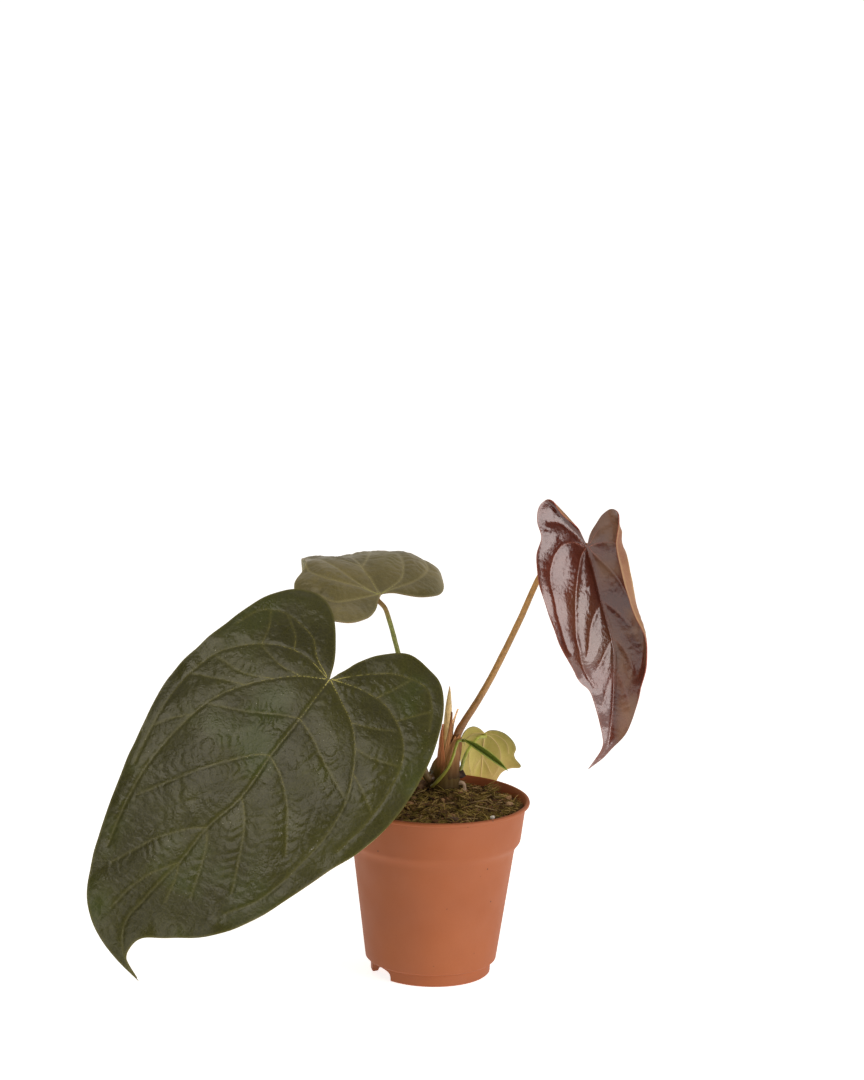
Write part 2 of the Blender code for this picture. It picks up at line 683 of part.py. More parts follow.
def add_sheath(name, axis, radius, start_angle, stop_angle, thickness, color):
    """A dry bract: a tapering shell round part of an axis, narrowing to a point at the top."""
    axis = smooth_line(above_lip(axis), 4)
    points = []
    columns = 6
    for step, place in enumerate(axis):
        share = step / (len(axis) - 1)
        width = 1 - share**1.6 * 0.92
        middle = (start_angle + stop_angle) / 2
        spread = (stop_angle - start_angle) / 2 * width
        reach = radius * (1 - 0.25 * share)
        for side, shell in ((1, reach + thickness), (-1, reach)):
            for column in range(columns + 1):
                turn = math.radians(middle + side * spread * (2 * column / columns - 1))
                points.append(place + np.array([shell * math.cos(turn), shell * math.sin(turn), 0]))
    ring = 2 * (columns + 1)
    faces = []
    for level in range(len(axis) - 1):
        for i in range(ring):
            j = (i + 1) % ring
            faces.append((level * ring + i, level * ring + j, (level + 1) * ring + j, (level + 1) * ring + i))
    faces.append(tuple(range(ring))[::-1])
    faces.append(tuple(range((len(axis) - 1) * ring, len(axis) * ring)))
    add_mesh(name, points, faces, color, 0.6)


def add_crown():
    foot = STEM_RISE + GAP
    add_stem()
    add_shoot()
    add_sheath("left_sheath", [(4.2, 12.8, foot), (5, 13.5, 27.5), (6.6, 13.8, 44.5)], 3.3, 95, 265, 0.7,
               (0.3, 0.12, 0.06))
    add_sheath("front_sheath", [(10, 18, foot), (11, 18, 23.5), (13, 17.6, 33.5)], 4.3, -110, 20, 0.7,
               (0.42, 0.26, 0.14))
    add_sheath("rear_sheath", [(10, 18.5, foot), (12, 18.5, 35.5), (17, 18, 51.5)], 4.6, 70, 160, 0.7,
               (0.6, 0.33, 0.2))


def add_roots():
    """Two aerial roots that leave the stem's side for the moss, and the stub of a cut stalk."""
    for name, compass, rise, bend, end, radius, color in (
        ("left_root", 192, 5, (-8.5, 15, 4.5), (-9.5, 14.5), 1.8, (0.16, 0.09, 0.05)),
        ("right_root", -12, 5.5, (18.2, 15.2, 4.5), (18.8, 15), 1.2, (0.5, 0.36, 0.24)),
    ):
        route = led_line(from_side(compass, rise), [above_lip(bend), (*end, soil_height(*end) + 1)], 3)
        add_mesh(name, *tube(route, np.full(len(route), radius), 8), color, 0.8)
    stub = led_line(from_side(8, 10), [above_lip((18.5, 20, 11))], 3)
    add_mesh("stalk_stub", *tube(stub, np.full(len(stub), 2.3), 10), (0.06, 0.03, 0.02), 0.8)


def main():
    for old in list(bpy.data.objects):
        bpy.data.objects.remove(old, do_unlink=True)
    add_pot()
    add_growing_medium()
    add_moss()
    add_loose_pieces()
    add_crown()
    add_roots()
    for name, leaf in LEAVES.items():
        add_blade(name, leaf)
        add_stalk(name, leaf, STALKS[name])


main()
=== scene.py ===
import math
import random

import bmesh
import bpy
import numpy as np
from mathutils import Matrix, Vector, noise
from mathutils.geometry import delaunay_2d_cdt


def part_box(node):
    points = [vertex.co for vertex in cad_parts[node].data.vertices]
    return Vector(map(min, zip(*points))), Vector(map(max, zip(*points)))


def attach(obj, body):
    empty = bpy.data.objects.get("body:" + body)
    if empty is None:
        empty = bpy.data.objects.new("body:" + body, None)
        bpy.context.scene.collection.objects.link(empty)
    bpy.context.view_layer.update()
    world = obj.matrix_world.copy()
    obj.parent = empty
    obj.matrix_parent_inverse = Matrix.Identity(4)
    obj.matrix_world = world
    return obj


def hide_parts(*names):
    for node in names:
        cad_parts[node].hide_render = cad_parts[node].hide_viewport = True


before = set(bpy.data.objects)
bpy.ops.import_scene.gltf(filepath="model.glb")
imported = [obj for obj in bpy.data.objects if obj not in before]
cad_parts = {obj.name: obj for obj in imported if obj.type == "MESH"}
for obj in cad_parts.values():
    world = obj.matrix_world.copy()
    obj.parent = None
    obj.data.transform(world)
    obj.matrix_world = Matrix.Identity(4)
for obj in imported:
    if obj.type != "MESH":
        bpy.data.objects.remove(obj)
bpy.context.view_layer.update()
mm = 0.001  # the sizes below are in millimetres

# small helpers


def deselectAll():
    if bpy.context.mode != "OBJECT":
        bpy.ops.object.mode_set(mode="OBJECT")
    bpy.ops.object.select_all(action="DESELECT")


def pick(piece):
    deselectAll()
    piece.select_set(True)
    bpy.context.view_layer.objects.active = piece


def applyAll(piece):
    pick(piece)
    for modifier in list(piece.modifiers):
        bpy.ops.object.modifier_apply(modifier=modifier.name)


def meshPiece(name, points, faces):
    mesh = bpy.data.meshes.new(name)
    mesh.from_pydata((np.asarray(points, float) * mm).tolist(), [], faces)
    piece = bpy.data.objects.new(name, mesh)
    bpy.context.scene.collection.objects.link(piece)
    return piece


def faceOutwards(piece):
    pick(piece)
    bpy.ops.object.mode_set(mode="EDIT")
    bpy.ops.mesh.select_all(action="SELECT")
    bpy.ops.mesh.normals_make_consistent(inside=False)
    bpy.ops.object.mode_set(mode="OBJECT")


def smoothShade(piece, angle=45):
    piece.data.shade_smooth()
    piece.data.set_sharp_from_angle(angle=math.radians(angle))


def dress(piece, materials, slotName, *nodes):
    for finish in materials:
        piece.data.materials.append(finish)
    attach(piece, "root")
    if nodes:
        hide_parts(*nodes)


def setAttribute(piece, name, values):
    made = piece.data.attributes.new(name, "FLOAT", "POINT")
    made.data.foreach_set("value", np.asarray(values, np.float32))


def bump01(x):
    return np.exp(-np.square(x))


def smoothLine(points, steps):
    knots = np.array(points, float)
    ends = np.vstack([2 * knots[0] - knots[1], knots, 2 * knots[-1] - knots[-2]])
    line = []
    for before, start, stop, after in zip(ends, ends[1:], ends[2:], ends[3:]):
        for u in np.arange(steps) / steps:
            bend = 2 * before - 5 * start + 4 * stop - after
            swing = 3 * start - before - 3 * stop + after
            line.append(start + ((stop - before) * u + bend * u**2 + swing * u**3) / 2)
    return np.array([*line, knots[-1]])


def spaced(line, spacing):
    run = np.concatenate([[0], np.cumsum(np.linalg.norm(np.diff(line, axis=0), axis=1))])
    count = max(2, round(run[-1] / spacing) + 1)
    at = np.linspace(0, run[-1], count)
    return np.stack([np.interp(at, run, column) for column in line.T], axis=1)


def nearLine(line, points):
    # distance to the line, and how far along it the nearest place lies
    best, place, run = np.full(len(points), 1e9), np.zeros(len(points)), 0.0
    for start, stop in zip(line, line[1:]):
        way = stop - start
        long = math.sqrt(way @ way)
        share = np.clip((points - start) @ way / max(way @ way, 1e-12), 0, 1)
        gap = np.linalg.norm(start + share[:, None] * way - points, axis=1)
        place = np.where(gap < best, run + share * long, place)
        best = np.minimum(best, gap)
        run += long
    return best, place


def insideOutline(outline, points):
    x, y = points.T
    inside = np.zeros(len(points), bool)
    for (x0, y0), (x1, y1) in zip(outline, np.roll(outline, -1, axis=0)):
        if y0 != y1:
            inside ^= ((y0 > y) != (y1 > y)) & (x < (x1 - x0) * (y - y0) / (y1 - y0) + x0)
    return inside


# material helpers


class Nodes:
    def __init__(self, name, roughness=0.5):
        self.made = bpy.data.materials.new(name)
        self.made.use_nodes = True
        self.tree = self.made.node_tree
        self.shader = self.tree.nodes["Principled BSDF"]
        self.shader.inputs["Roughness"].default_value = roughness

    def new(self, kind):
        return self.tree.nodes.new(kind)

    def link(self, start, stop):
        self.tree.links.new(start, stop)

    def place(self, uv=False):
        return self.new("ShaderNodeTexCoord").outputs["UV" if uv else "Object"]

    def noise(self, source, scale, detail=3.0, roughness=0.55, stretch=None):
        node = self.new("ShaderNodeTexNoise")
        node.inputs["Scale"].default_value = scale
        node.inputs["Detail"].default_value = detail
        node.inputs["Roughness"].default_value = roughness
        if stretch:
            mapping = self.new("ShaderNodeMapping")
            mapping.inputs["Scale"].default_value = stretch
            self.link(source, mapping.inputs["Vector"])
            source = mapping.outputs["Vector"]
        self.link(source, node.inputs["Vector"])
        return node.outputs["Fac"]

    def cells(self, source, scale, feature="DISTANCE_TO_EDGE"):
        node = self.new("ShaderNodeTexVoronoi")
        node.feature = feature
        node.inputs["Scale"].default_value = scale
        self.link(source, node.inputs["Vector"])
        return node.outputs["Distance"]

    def attribute(self, name):
        node = self.new("ShaderNodeAttribute")
        node.attribute_name = name
        return node.outputs["Fac"]

    def ramp(self, source, *stops):
        node = self.new("ShaderNodeValToRGB")
        band = node.color_ramp
        while len(band.elements) > 1:
            band.elements.remove(band.elements[-1])
        for number, (at, color) in enumerate(stops):
            stop = band.elements[0] if number == 0 else band.elements.new(at)
            stop.position = at
            stop.color = (*color, 1)
        self.link(source, node.inputs["Fac"])
        return node.outputs["Color"]

    def span(self, source, low, high, toLow=0.0, toHigh=1.0):
        node = self.new("ShaderNodeMapRange")
        for key, value in (("From Min", low), ("From Max", high), ("To Min", toLow), ("To Max", toHigh)):
            node.inputs[key].default_value = value
        self.link(source, node.inputs["Value"])
        return node.outputs["Result"]

    def sum(self, first, second, kind="ADD"):
        node = self.new("ShaderNodeMath")
        node.operation = kind
        for socket, value in zip(node.inputs, (first, second)):
            if isinstance(value, (int, float)):
                socket.default_value = value
            else:
                self.link(value, socket)
        return node.outputs["Value"]

    def mix(self, share, first, second, kind="MIX"):
        node = self.new("ShaderNodeMix")
        node.data_type = "RGBA"
        node.blend_type = kind
        for socket, value in ((node.inputs[0], share), (node.inputs[6], first), (node.inputs[7], second)):
            if isinstance(value, tuple):
                socket.default_value = (*value, 1)
            elif isinstance(value, (int, float)):
                socket.default_value = value
            else:
                self.link(value, socket)
        return node.outputs[2]

    def bump(self, height, distance, strength=1.0, after=None):
        node = self.new("ShaderNodeBump")
        node.inputs["Strength"].default_value = strength
        node.inputs["Distance"].default_value = distance * mm
        self.link(height, node.inputs["Height"])
        if after:
            self.link(after, node.inputs["Normal"])
        return node.outputs["Normal"]

    def finish(self, color=None, roughness=None, normal=None, **constants):
        for name, source in (("Base Color", color), ("Roughness", roughness), ("Normal", normal)):
            if source is not None:
                if isinstance(source, tuple):
                    self.shader.inputs[name].default_value = (*source, 1)
                elif isinstance(source, (int, float)):
                    self.shader.inputs[name].default_value = source
                else:
                    self.link(source, self.shader.inputs[name])
        for name, value in constants.items():
            self.shader.inputs[name.replace("_", " ")].default_value = value
        return self.made


# camera, lights and floor

cameraSet = {
    "aim": (-0.006, 0.0, 0.278),
    "pitch": 11.7,  # degrees down
    "roll": 1.5,
    "distance": 2.2,
    "lens": 118.2,
}
lightSet = {
    "warmth": (1.0, 0.92, 0.81),
    "front": 0.16,  # how bright the dim room in front and above is
    "back": 0.75,  # how bright the white sweep behind is
    "floorGlow": 0.82,
    "side": {"at": (1.75, -1.1, 0.6), "size": 1.3, "power": 29, "aim": (0.05, 0, 0.2),
             "color": (1.0, 0.92, 0.9)},
    "over": {"at": (-0.45, -0.95, 2.0), "size": 1.0, "power": 7.5, "aim": (-0.08, -0.05, 0.15)},
    "fill": {"at": (-1.5, -1.9, 1.1), "size": 1.2, "power": 7, "aim": (0, 0, 0.15)},
}


def addCamera():
    pitch, roll = math.radians(cameraSet["pitch"]), math.radians(cameraSet["roll"])
    ahead = Vector((0, math.cos(pitch), -math.sin(pitch)))
    up = Vector((0, math.sin(pitch), math.cos(pitch)))
    side = Vector((1, 0, 0))
    across = side * math.cos(roll) + up * math.sin(roll)
    above = up * math.cos(roll) - side * math.sin(roll)
    camera = bpy.data.cameras.new("camera")
    camera.lens = cameraSet["lens"]
    camera.sensor_width = 36
    holder = bpy.data.objects.new("camera", camera)
    bpy.context.scene.collection.objects.link(holder)
    turned = Matrix((across, above, -ahead)).transposed().to_4x4()
    turned.translation = Vector(cameraSet["aim"]) - ahead * cameraSet["distance"]
    holder.matrix_world = turned
    bpy.context.scene.camera = holder


def addLight(name, values):
    light = bpy.data.lights.new(name, "AREA")
    light.shape = "SQUARE"
    light.size = values["size"]
    light.energy = values["power"]
    light.color = values.get("color", lightSet["warmth"])
    holder = bpy.data.objects.new(name, light)
    bpy.context.scene.collection.objects.link(holder)
    holder.location = values["at"]
    holder.rotation_euler = (Vector(values["aim"]) - Vector(values["at"])).to_track_quat("-Z", "Y").to_euler()


def addWorld():
    # a white sweep behind, a dim room in front, and plain white where the camera looks past the floor
    world = bpy.data.worlds.new("studio")
    bpy.context.scene.world = world
    world.use_nodes = True
    tree = world.node_tree
    backdrop = tree.nodes["Background"]
    place = tree.nodes.new("ShaderNodeTexCoord")
    parts = tree.nodes.new("ShaderNodeSeparateXYZ")
    shade = tree.nodes.new("ShaderNodeMapRange")
    shade.interpolation_type = "SMOOTHSTEP"
    for key, value in (("From Min", -0.1), ("From Max", 0.7)):
        shade.inputs[key].default_value = value
    shade.inputs["To Min"].default_value = lightSet["front"]
    shade.inputs["To Max"].default_value = lightSet["back"]
    white = tree.nodes.new("ShaderNodeBackground")
    seen = tree.nodes.new("ShaderNodeLightPath")
    either = tree.nodes.new("ShaderNodeMixShader")
    backdrop.inputs["Color"].default_value = (*lightSet["warmth"], 1)
    white.inputs["Color"].default_value = (1, 1, 1, 1)
    tree.links.new(place.outputs["Generated"], parts.inputs[0])
    tree.links.new(parts.outputs["Y"], shade.inputs["Value"])
    tree.links.new(shade.outputs[0], backdrop.inputs["Strength"])
    tree.links.new(seen.outputs["Is Camera Ray"], either.inputs[0])
    tree.links.new(backdrop.outputs[0], either.inputs[1])
    tree.links.new(white.outputs[0], either.inputs[2])
    tree.links.new(either.outputs[0], tree.nodes["World Output"].inputs["Surface"])


def addStudio():
    addWorld()
    for name in ("side", "over", "fill"):
        addLight(name, lightSet[name])
    deselectAll()
    bpy.ops.mesh.primitive_plane_add(size=60, location=(0, 0, -0.0002))
    floor = bpy.context.active_object
    floor.name = "floor"
    paper = Nodes("floorPaper", 0.9)
    floor.data.materials.append(paper.finish(color=(0.8, 0.8, 0.8), Emission_Color=(1, 1, 1, 1),
                                             Emission_Strength=lightSet["floorGlow"]))
    bpy.context.scene.view_settings.view_transform = "Standard"


addCamera()
addStudio()
print("studio ready")

# leaves

# A blade is drawn flat, with its first number along the midrib towards the tip and its second to the right
# of it, then folded and curled on each side, drooped along the midrib and aimed from its junction.
leaves = {
    "largeLeaf": {
        "node": "large_leaf_blade",
        "slot": "dark_leaf",
        "junction": (-67, -28, 194),
        "aim": (-137, 33, 32),
        "droop": [(-60, -10), (0, 0), (235, 22)],
        "fold": ([(0, 0)], [(0, 0)]),
        "curl": ([(0, -8)], [(0, -8)]),
        "halfWidth": 85,
        "left": [(-12, -3), (-22, -5), (-34, -11), (-45, -20), (-49, -31), (-46, -49), (-36, -62),
                 (-18, -74), (10, -85), (44, -91), (74, -89), (98, -82), (144, -69), (172, -53),
                 (188, -34), (199, -19), (209, -16), (216, -20)],
        "right": [(-12, 6), (-24, 15), (-36, 26), (-44, 38), (-45, 51), (-38, 63), (-22, 71), (-2, 75),
                  (30, 79), (60, 80), (96, 70), (132, 58), (170, 43), (195, 29), (208, 16), (215, 2),
                  (219, -15)],
        "tip": (221, -34),
        "thickness": 0.7,
        "spacing": 1.25,
        "veins": [  # flat points, width at the start and at the end
            ([(0, 0), (33, -4), (63, -6), (95, -10), (123, -6), (148, -7), (170, -5), (184, -4), (194, -3),
              (203, -6), (210, -11), (216, -20), (220, -31)], 1.5, 0.5),
            ([(0, 2), (-3, 21), (0, 37), (7, 49), (17, 59), (29, 67), (42, 70), (58, 71), (76, 69),
              (96, 64), (118, 57)], 1.1, 0.35),
            ([(1, 2), (10, 15), (22, 27), (36, 38), (53, 46), (72, 50), (94, 51), (114, 50), (130, 47),
              (150, 42), (168, 36)], 1.2, 0.4),
            ([(-1, 3), (-7, 16), (-16, 26), (-20, 38), (-21, 54), (-12, 67), (6, 71)], 0.9, 0.35),
            ([(0, -1), (7, -15), (15, -30), (27, -43), (41, -53), (59, -62), (80, -66), (101, -66),
              (125, -64), (141, -60), (158, -50)], 1.2, 0.4),
            ([(-1, -1), (-5, -11), (-8, -20), (-9, -36), (-4, -50), (4, -62), (16, -71), (34, -77), (60, -80),
              (86, -78)], 1.1, 0.35),
            ([(-1, -2), (-14, -11), (-23, -19), (-31, -29), (-36, -46), (-28, -59), (-12, -70)], 0.9, 0.35),
            ([(63, -6), (69, 2), (82, 12), (97, 22), (113, 31), (132, 42)], 0.8, 0.35),
            ([(123, -6), (131, 3), (146, 14), (159, 20), (175, 27)], 0.8, 0.3),
            ([(150, -7), (165, 2), (180, 7), (196, 9)], 0.7, 0.3),
            ([(64, -7), (70, -20), (82, -35), (94, -45), (108, -56)], 0.8, 0.3),
            ([(95, -10), (102, -18), (113, -27), (127, -35), (146, -45)], 0.8, 0.3),
            ([(124, -7), (133, -14), (146, -20), (163, -27)], 0.7, 0.3),
            ([(150, -7), (160, -12), (174, -16)], 0.6, 0.3),
            ([(-2, 30), (-12, 38), (-21, 52)], 0.6, 0.25),
            ([(7, 49), (-6, 54), (-17, 62)], 0.6, 0.25),
            ([(36, 38), (42, 52), (50, 70)], 0.6, 0.25),
            ([(10, 15), (12, 30), (8, 48)], 0.6, 0.25),
            ([(22, 27), (30, 44), (31, 66)], 0.6, 0.25),
            ([(72, 50), (80, 58), (92, 65)], 0.6, 0.25),
            ([(15, -30), (10, -42), (2, -54)], 0.6, 0.25),
            ([(27, -43), (26, -56), (20, -71)], 0.6, 0.25),
            ([(41, -53), (46, -64), (54, -79)], 0.6, 0.25),
            ([(-9, -30), (-20, -34), (-34, -38)], 0.6, 0.25),
            ([(-4, -50), (-14, -56), (-24, -62)], 0.6, 0.25),
            ([(33, -4), (40, 10), (50, 26), (60, 46)], 0.6, 0.25),
            ([(33, -4), (38, -18), (46, -34), (56, -58)], 0.6, 0.25),
        ],
        "groove": 0.34,
        "grooveReach": 1.3,
        "puff": 0.7,
        "puffReach": 9.0,
        "rung": 0.42,
        "rungGap": 6.5,
        "wave": 2.2,
        "waveSize": 46.0,
        "ripple": 1.6,
        "seed": 3,
    },
    "upperLeaf": {
        "node": "upper_leaf_blade",
        "slot": "grey_leaf",
        "junction": (-38, 42, 233.3),
        "aim": (117, 0, -9),
        "droop": [(-40, -15), (0, -34), (18, -30), (38, -2), (70, 20), (125, 62)],
        "fold": ([(0, -3)], [(0, 14)]),
        "curl": ([(0, -30)], [(0, -32)]),
        "halfWidth": 50,
        "left": [(-6, -3), (-15, -8), (-24, -18), (-27, -33), (-16, -48), (4, -55), (20, -52), (36, -40),
                 (56, -31), (76, -24), (96, -14), (111, -6)],
        "right": [(-1, 6), (-4, 18), (-4, 33), (4, 46), (20, 53), (42, 52), (64, 43), (84, 30), (101, 16),
                  (113, 6)],
        "tip": (121, 0),
        "thickness": 0.6,
        "spacing": 1.1,
        "veins": [
            ([(0, 0), (11, -1), (27, -4), (50, -3), (80, -1), (118, 0)], 1.0, 0.35),
            ([(0, 1), (4, 8), (11, 17), (20, 22), (34, 27), (52, 30), (74, 28)], 0.9, 0.3),
            ([(0, 1), (3, 11), (9, 25), (17, 36), (27, 43), (42, 44)], 0.8, 0.3),
            ([(0, -1), (8, -10), (18, -18), (30, -24), (48, -28), (70, -24)], 0.8, 0.3),
            ([(0, -1), (6, -10), (10, -22), (15, -33), (26, -40), (42, -39)], 0.8, 0.3),
            ([(0, -1), (-2, -10), (-5, -22), (-6, -33), (2, -41)], 0.7, 0.3),
            ([(27, -4), (38, 5), (52, 14), (66, 20)], 0.5, 0.25),
            ([(27, -4), (36, -12), (48, -18)], 0.5, 0.25),
            ([(50, -3), (62, 6), (76, 13)], 0.5, 0.25),
            ([(50, -3), (60, -10), (74, -15)], 0.5, 0.25),
        ],
        "groove": 0.4,
        "grooveReach": 1.4,
        "puff": 1.0,
        "puffReach": 7.0,
        "rung": 0.6,
        "rungGap": 5.5,
        "wave": 1.8,
        "waveSize": 30.0,
        "ripple": 1.6,
        "seed": 11,
    },
    "redLeaf": {
        "node": "red_leaf_blade",
        "slot": "red_leaf",
        "junction": (90, -5, 278),
        "aim": (-72, 80, 0),
        "droop": [(0, 0), (140, 5)],
        "turn": [(0, -14), (60, -14), (80, 0), (140, 4)],
        "fold": ([(0, 25), (60, 22), (90, 35), (110, 30)], [(0, 10)]),
        "curl": ([(-30, 150), (0, 200), (60, 230), (100, 200)], [(0, 20)]),
        "halfWidth": 45,
        "creases": [((0, 0), -121, 150, 2.5, 1)],  # point, direction, angle, radius, half it is on
        "left": [(-7, -4), (-12, -9), (-17, -15), (-19, -23), (-13, -33), (2, -38), (20, -39), (44, -36),
                 (66, -30), (84, -22), (100, -15), (112, -11), (121, -7), (130, 1), (136, 7)],
        "right": [(-8, 2), (-18, 4), (-27, 7), (-33, 12), (-35, 19), (-32, 26), (-24, 30), (-14, 31),
                  (-5, 38), (9, 41), (23, 41), (39, 40), (59, 37), (76, 31), (86, 25), (93, 18), (108, 12),
                  (120, 8), (130, 8)],
        "tip": (142, 17),
        "thickness": 0.55,
        "spacing": 0.95,
        "veins": [
            ([(0, 0), (19, 0), (36, 0), (52, -1), (63, -1), (78, 0), (101, 1), (124, 3), (136, 11)],
             1.3, 0.4),
            ([(1, 1), (6, 6), (17, 12), (28, 17), (41, 21), (56, 24), (75, 23), (90, 15)], 1.0, 0.35),
            ([(0, 2), (-5, 10), (-4, 20), (6, 29), (21, 33), (40, 34), (58, 33)], 0.9, 0.35),
            ([(-1, 2), (-12, 8), (-20, 16), (-22, 23)], 0.7, 0.3),
            ([(1, -1), (4, -2), (11, -6), (21, -12), (33, -17), (48, -22), (66, -22), (84, -16)], 1.0, 0.35),
            ([(1, -1), (0, -6), (1, -14), (6, -24), (18, -32), (36, -32)], 0.9, 0.35),
            ([(-1, -2), (-8, -10), (-10, -20), (-4, -30)], 0.7, 0.3),
            ([(36, 0), (44, 8), (54, 14), (66, 19)], 0.6, 0.25),
            ([(60, -1), (68, 6), (78, 12)], 0.6, 0.25),
            ([(36, 0), (44, -8), (54, -14)], 0.6, 0.25),
            ([(60, -1), (68, -7), (80, -12)], 0.6, 0.25),
            ([(80, 0), (90, 5), (102, 9)], 0.5, 0.25),
            ([(80, 0), (90, -6), (102, -10)], 0.5, 0.25),
        ],
        "groove": 0.45,
        "grooveReach": 1.3,
        "puff": 0.8,
        "puffReach": 5.5,
        "rung": 0.2,
        "rungGap": 4.0,
        "wave": 1.3,
        "waveSize": 24.0,
        "ripple": 1.3,
        "seed": 21,
    },
    "smallLeaf": {
        "node": "small_leaf_blade",
        "slot": "pale_leaf",
        "junction": (31, 52, 141.5),
        "aim": (95, 58, 0),
        "droop": [(-15, -25), (0, 0), (60, 25)],
        "fold": ([(0, -10)], [(0, -10)]),
        "curl": ([(-10, -60), (10, -30), (50, -10)], [(-10, -60), (10, -30), (50, -10)]),
        "halfWidth": 22,
        "left": [(-4, -3), (-8, -8), (-8, -13), (-4, -16), (5, -17), (16, -16), (30, -13), (42, -8),
                 (52, -3)],
        "right": [(-3, 3), (-5, 9), (-4, 15), (1, 20), (8, 21.5), (14, 20.5), (18, 22), (21, 26),
                  (24, 24.5), (27, 18), (32, 13), (42, 9), (52, 4)],
        "tip": (60, 0),
        "thickness": 0.5,
        "spacing": 0.8,
        "veins": [
            ([(0, 0), (20, 0), (40, 0), (58, 0)], 0.9, 0.3),
            ([(0, 0), (4, 6), (12, 11), (24, 12), (36, 8)], 0.6, 0.25),
            ([(0, 0), (0, 8), (5, 15), (14, 17)], 0.6, 0.25),
            ([(0, 0), (4, -5), (12, -9), (24, -9), (36, -6)], 0.6, 0.25),
            ([(0, 0), (-1, -7), (3, -12), (12, -13)], 0.6, 0.25),
            ([(20, 0), (27, 4), (34, 7)], 0.4, 0.2),
            ([(20, 0), (27, -4), (34, -5)], 0.4, 0.2),
        ],
        "groove": 0.2,
        "grooveReach": 0.9,
        "puff": 0.4,
        "puffReach": 4.0,
        "rung": 0.12,
        "rungGap": 3.5,
        "wave": 1.0,
        "waveSize": 15.0,
        "ripple": 1.0,
        "seed": 31,
    },
    "juvenileLeaf": {
        "node": "juvenile_leaf_blade",
        "slot": "juvenile_leaf",
        "junction": (17, 12, 147.6),
        "aim": (-12, 30, -55),
        "droop": [(0, 0), (36, 12)],
        "fold": ([(0, 68)], [(0, 62)]),
        "curl": ([(0, 10)], [(0, 10)]),
        "halfWidth": 8,
        "left": [(3, -2), (9, -4.2), (18, -4.6), (27, -3.2)],
        "right": [(3, 2), (9, 4.2), (18, 4.6), (27, 3.2)],
        "tip": (35, 0),
        "thickness": 0.6,
        "spacing": 0.6,
        "veins": [
            ([(0, 0), (16, 0), (33, 0)], 0.7, 0.3),
            ([(1, 0), (8, 2.4), (20, 2.8)], 0.35, 0.2),
            ([(1, 0), (8, -2.4), (20, -2.8)], 0.35, 0.2),
        ],
        "groove": 0.12,
        "grooveReach": 0.6,
        "puff": 0.12,
        "puffReach": 2.0,
        "rung": 0.04,
        "rungGap": 2.5,
        "wave": 0.3,
        "waveSize": 12.0,
        "ripple": 0.2,
        "seed": 41,
    },
}


def along(pairs, at):
    # a value that changes with the distance along the midrib
    distances, values = zip(*pairs)
    return np.interp(at, distances, values)


def columnsAt(distances, columns, at):
    return np.stack([np.interp(at, distances, column) for column in columns.T], axis=1)


def leafAxes(leaf):
    heading, fall, roll = (math.radians(angle) for angle in leaf["aim"])
    level = np.array([math.cos(heading), math.sin(heading), 0.0])
    ahead = level * math.cos(fall) - np.array([0.0, 0.0, math.sin(fall)])
    side = np.array([math.sin(heading), -math.cos(heading), 0.0])
    up = np.cross(side, ahead)
    rolled = side * math.cos(roll) + up * math.sin(roll)
    return ahead, rolled, up * math.cos(roll) - side * math.sin(roll)


def midrib(leaf):
    # places, sideways and upward directions along the drooped midrib, from the junction
    reach = np.linspace(-90, 260, 701)
    forward, right, up = leafAxes(leaf)
    droop = np.radians(along(leaf["droop"], reach))[:, None]
    turn = np.radians(along(leaf.get("turn", [(0, 0)]), reach))[:, None]
    ahead = np.cos(droop) * (np.cos(turn) * forward + np.sin(turn) * right) - np.sin(droop) * up
    rightward = np.cos(turn) * right - np.sin(turn) * forward
    steps = (ahead[1:] + ahead[:-1]) / 2 * (reach[1] - reach[0])
    places = np.vstack([np.zeros(3), np.cumsum(steps, axis=0)])
    places -= columnsAt(reach, places, np.zeros(1))
    return reach, places, rightward, np.cross(rightward, ahead)


def creased(s, t, lift, point, direction, angle, radius, half):
    # one half of the blade rolled up beyond a straight crease
    c, w = math.cos(math.radians(direction)), math.sin(math.radians(direction))
    beyond = np.where(t * half > 0, np.maximum((s - point[0]) * c + (t - point[1]) * w, 0), 0)
    bend = np.minimum(beyond / radius, math.radians(angle))
    rest = beyond - bend * radius
    kept = radius * np.sin(bend) + rest * np.cos(bend)
    raised = radius * (1 - np.cos(bend)) + rest * np.sin(bend)
    return s + (kept - beyond) * c, t + (kept - beyond) * w, lift + raised, bend


def bent(leaf, flat, rise=0.0):
    # the flat leaf's points bent into place, rise above its middle surface
    s, t = np.asarray(flat, float).T
    lift = np.zeros(len(s))
    lean = np.zeros(len(s))  # how far a crease has turned the surface here
    direction = 0
    for foldLine in leaf.get("creases", ()):
        s, t, lift, lean = creased(s, t, lift, *foldLine)
        direction = math.radians(foldLine[1])
    width = np.abs(t)
    fold, curl = (
        np.radians(np.where(t > 0, along(leaf[key][1], s), along(leaf[key][0], s)))
        for key in ("fold", "curl")
    )
    shares = (np.arange(16) + 0.5) / 16  # the slope is averaged over these steps out from the midrib
    slope = fold[:, None] + curl[:, None] * (width[:, None] * shares / leaf["halfWidth"]) ** 2
    across = np.cos(slope).mean(1) * t
    climb = np.sin(slope).mean(1) * width
    reach, places, rightward, upward = midrib(leaf)
    place, right, up = (columnsAt(reach, column, s) for column in (places, rightward, upward))
    edgeSlope = fold + curl * (width / leaf["halfWidth"]) ** 2
    normal = up * np.cos(edgeSlope)[:, None] - right * (np.sin(edgeSlope) * np.sign(t))[:, None]
    ahead = np.cross(up, right)
    beyondWay = ahead * math.cos(direction) + np.cross(normal, -ahead) * -math.sin(direction)
    raised = normal * (lift + rise * np.cos(lean))[:, None] - beyondWay * (rise * np.sin(lean))[:, None]
    return np.array(leaf["junction"]) + place + right * across[:, None] + up * climb[:, None] + raised


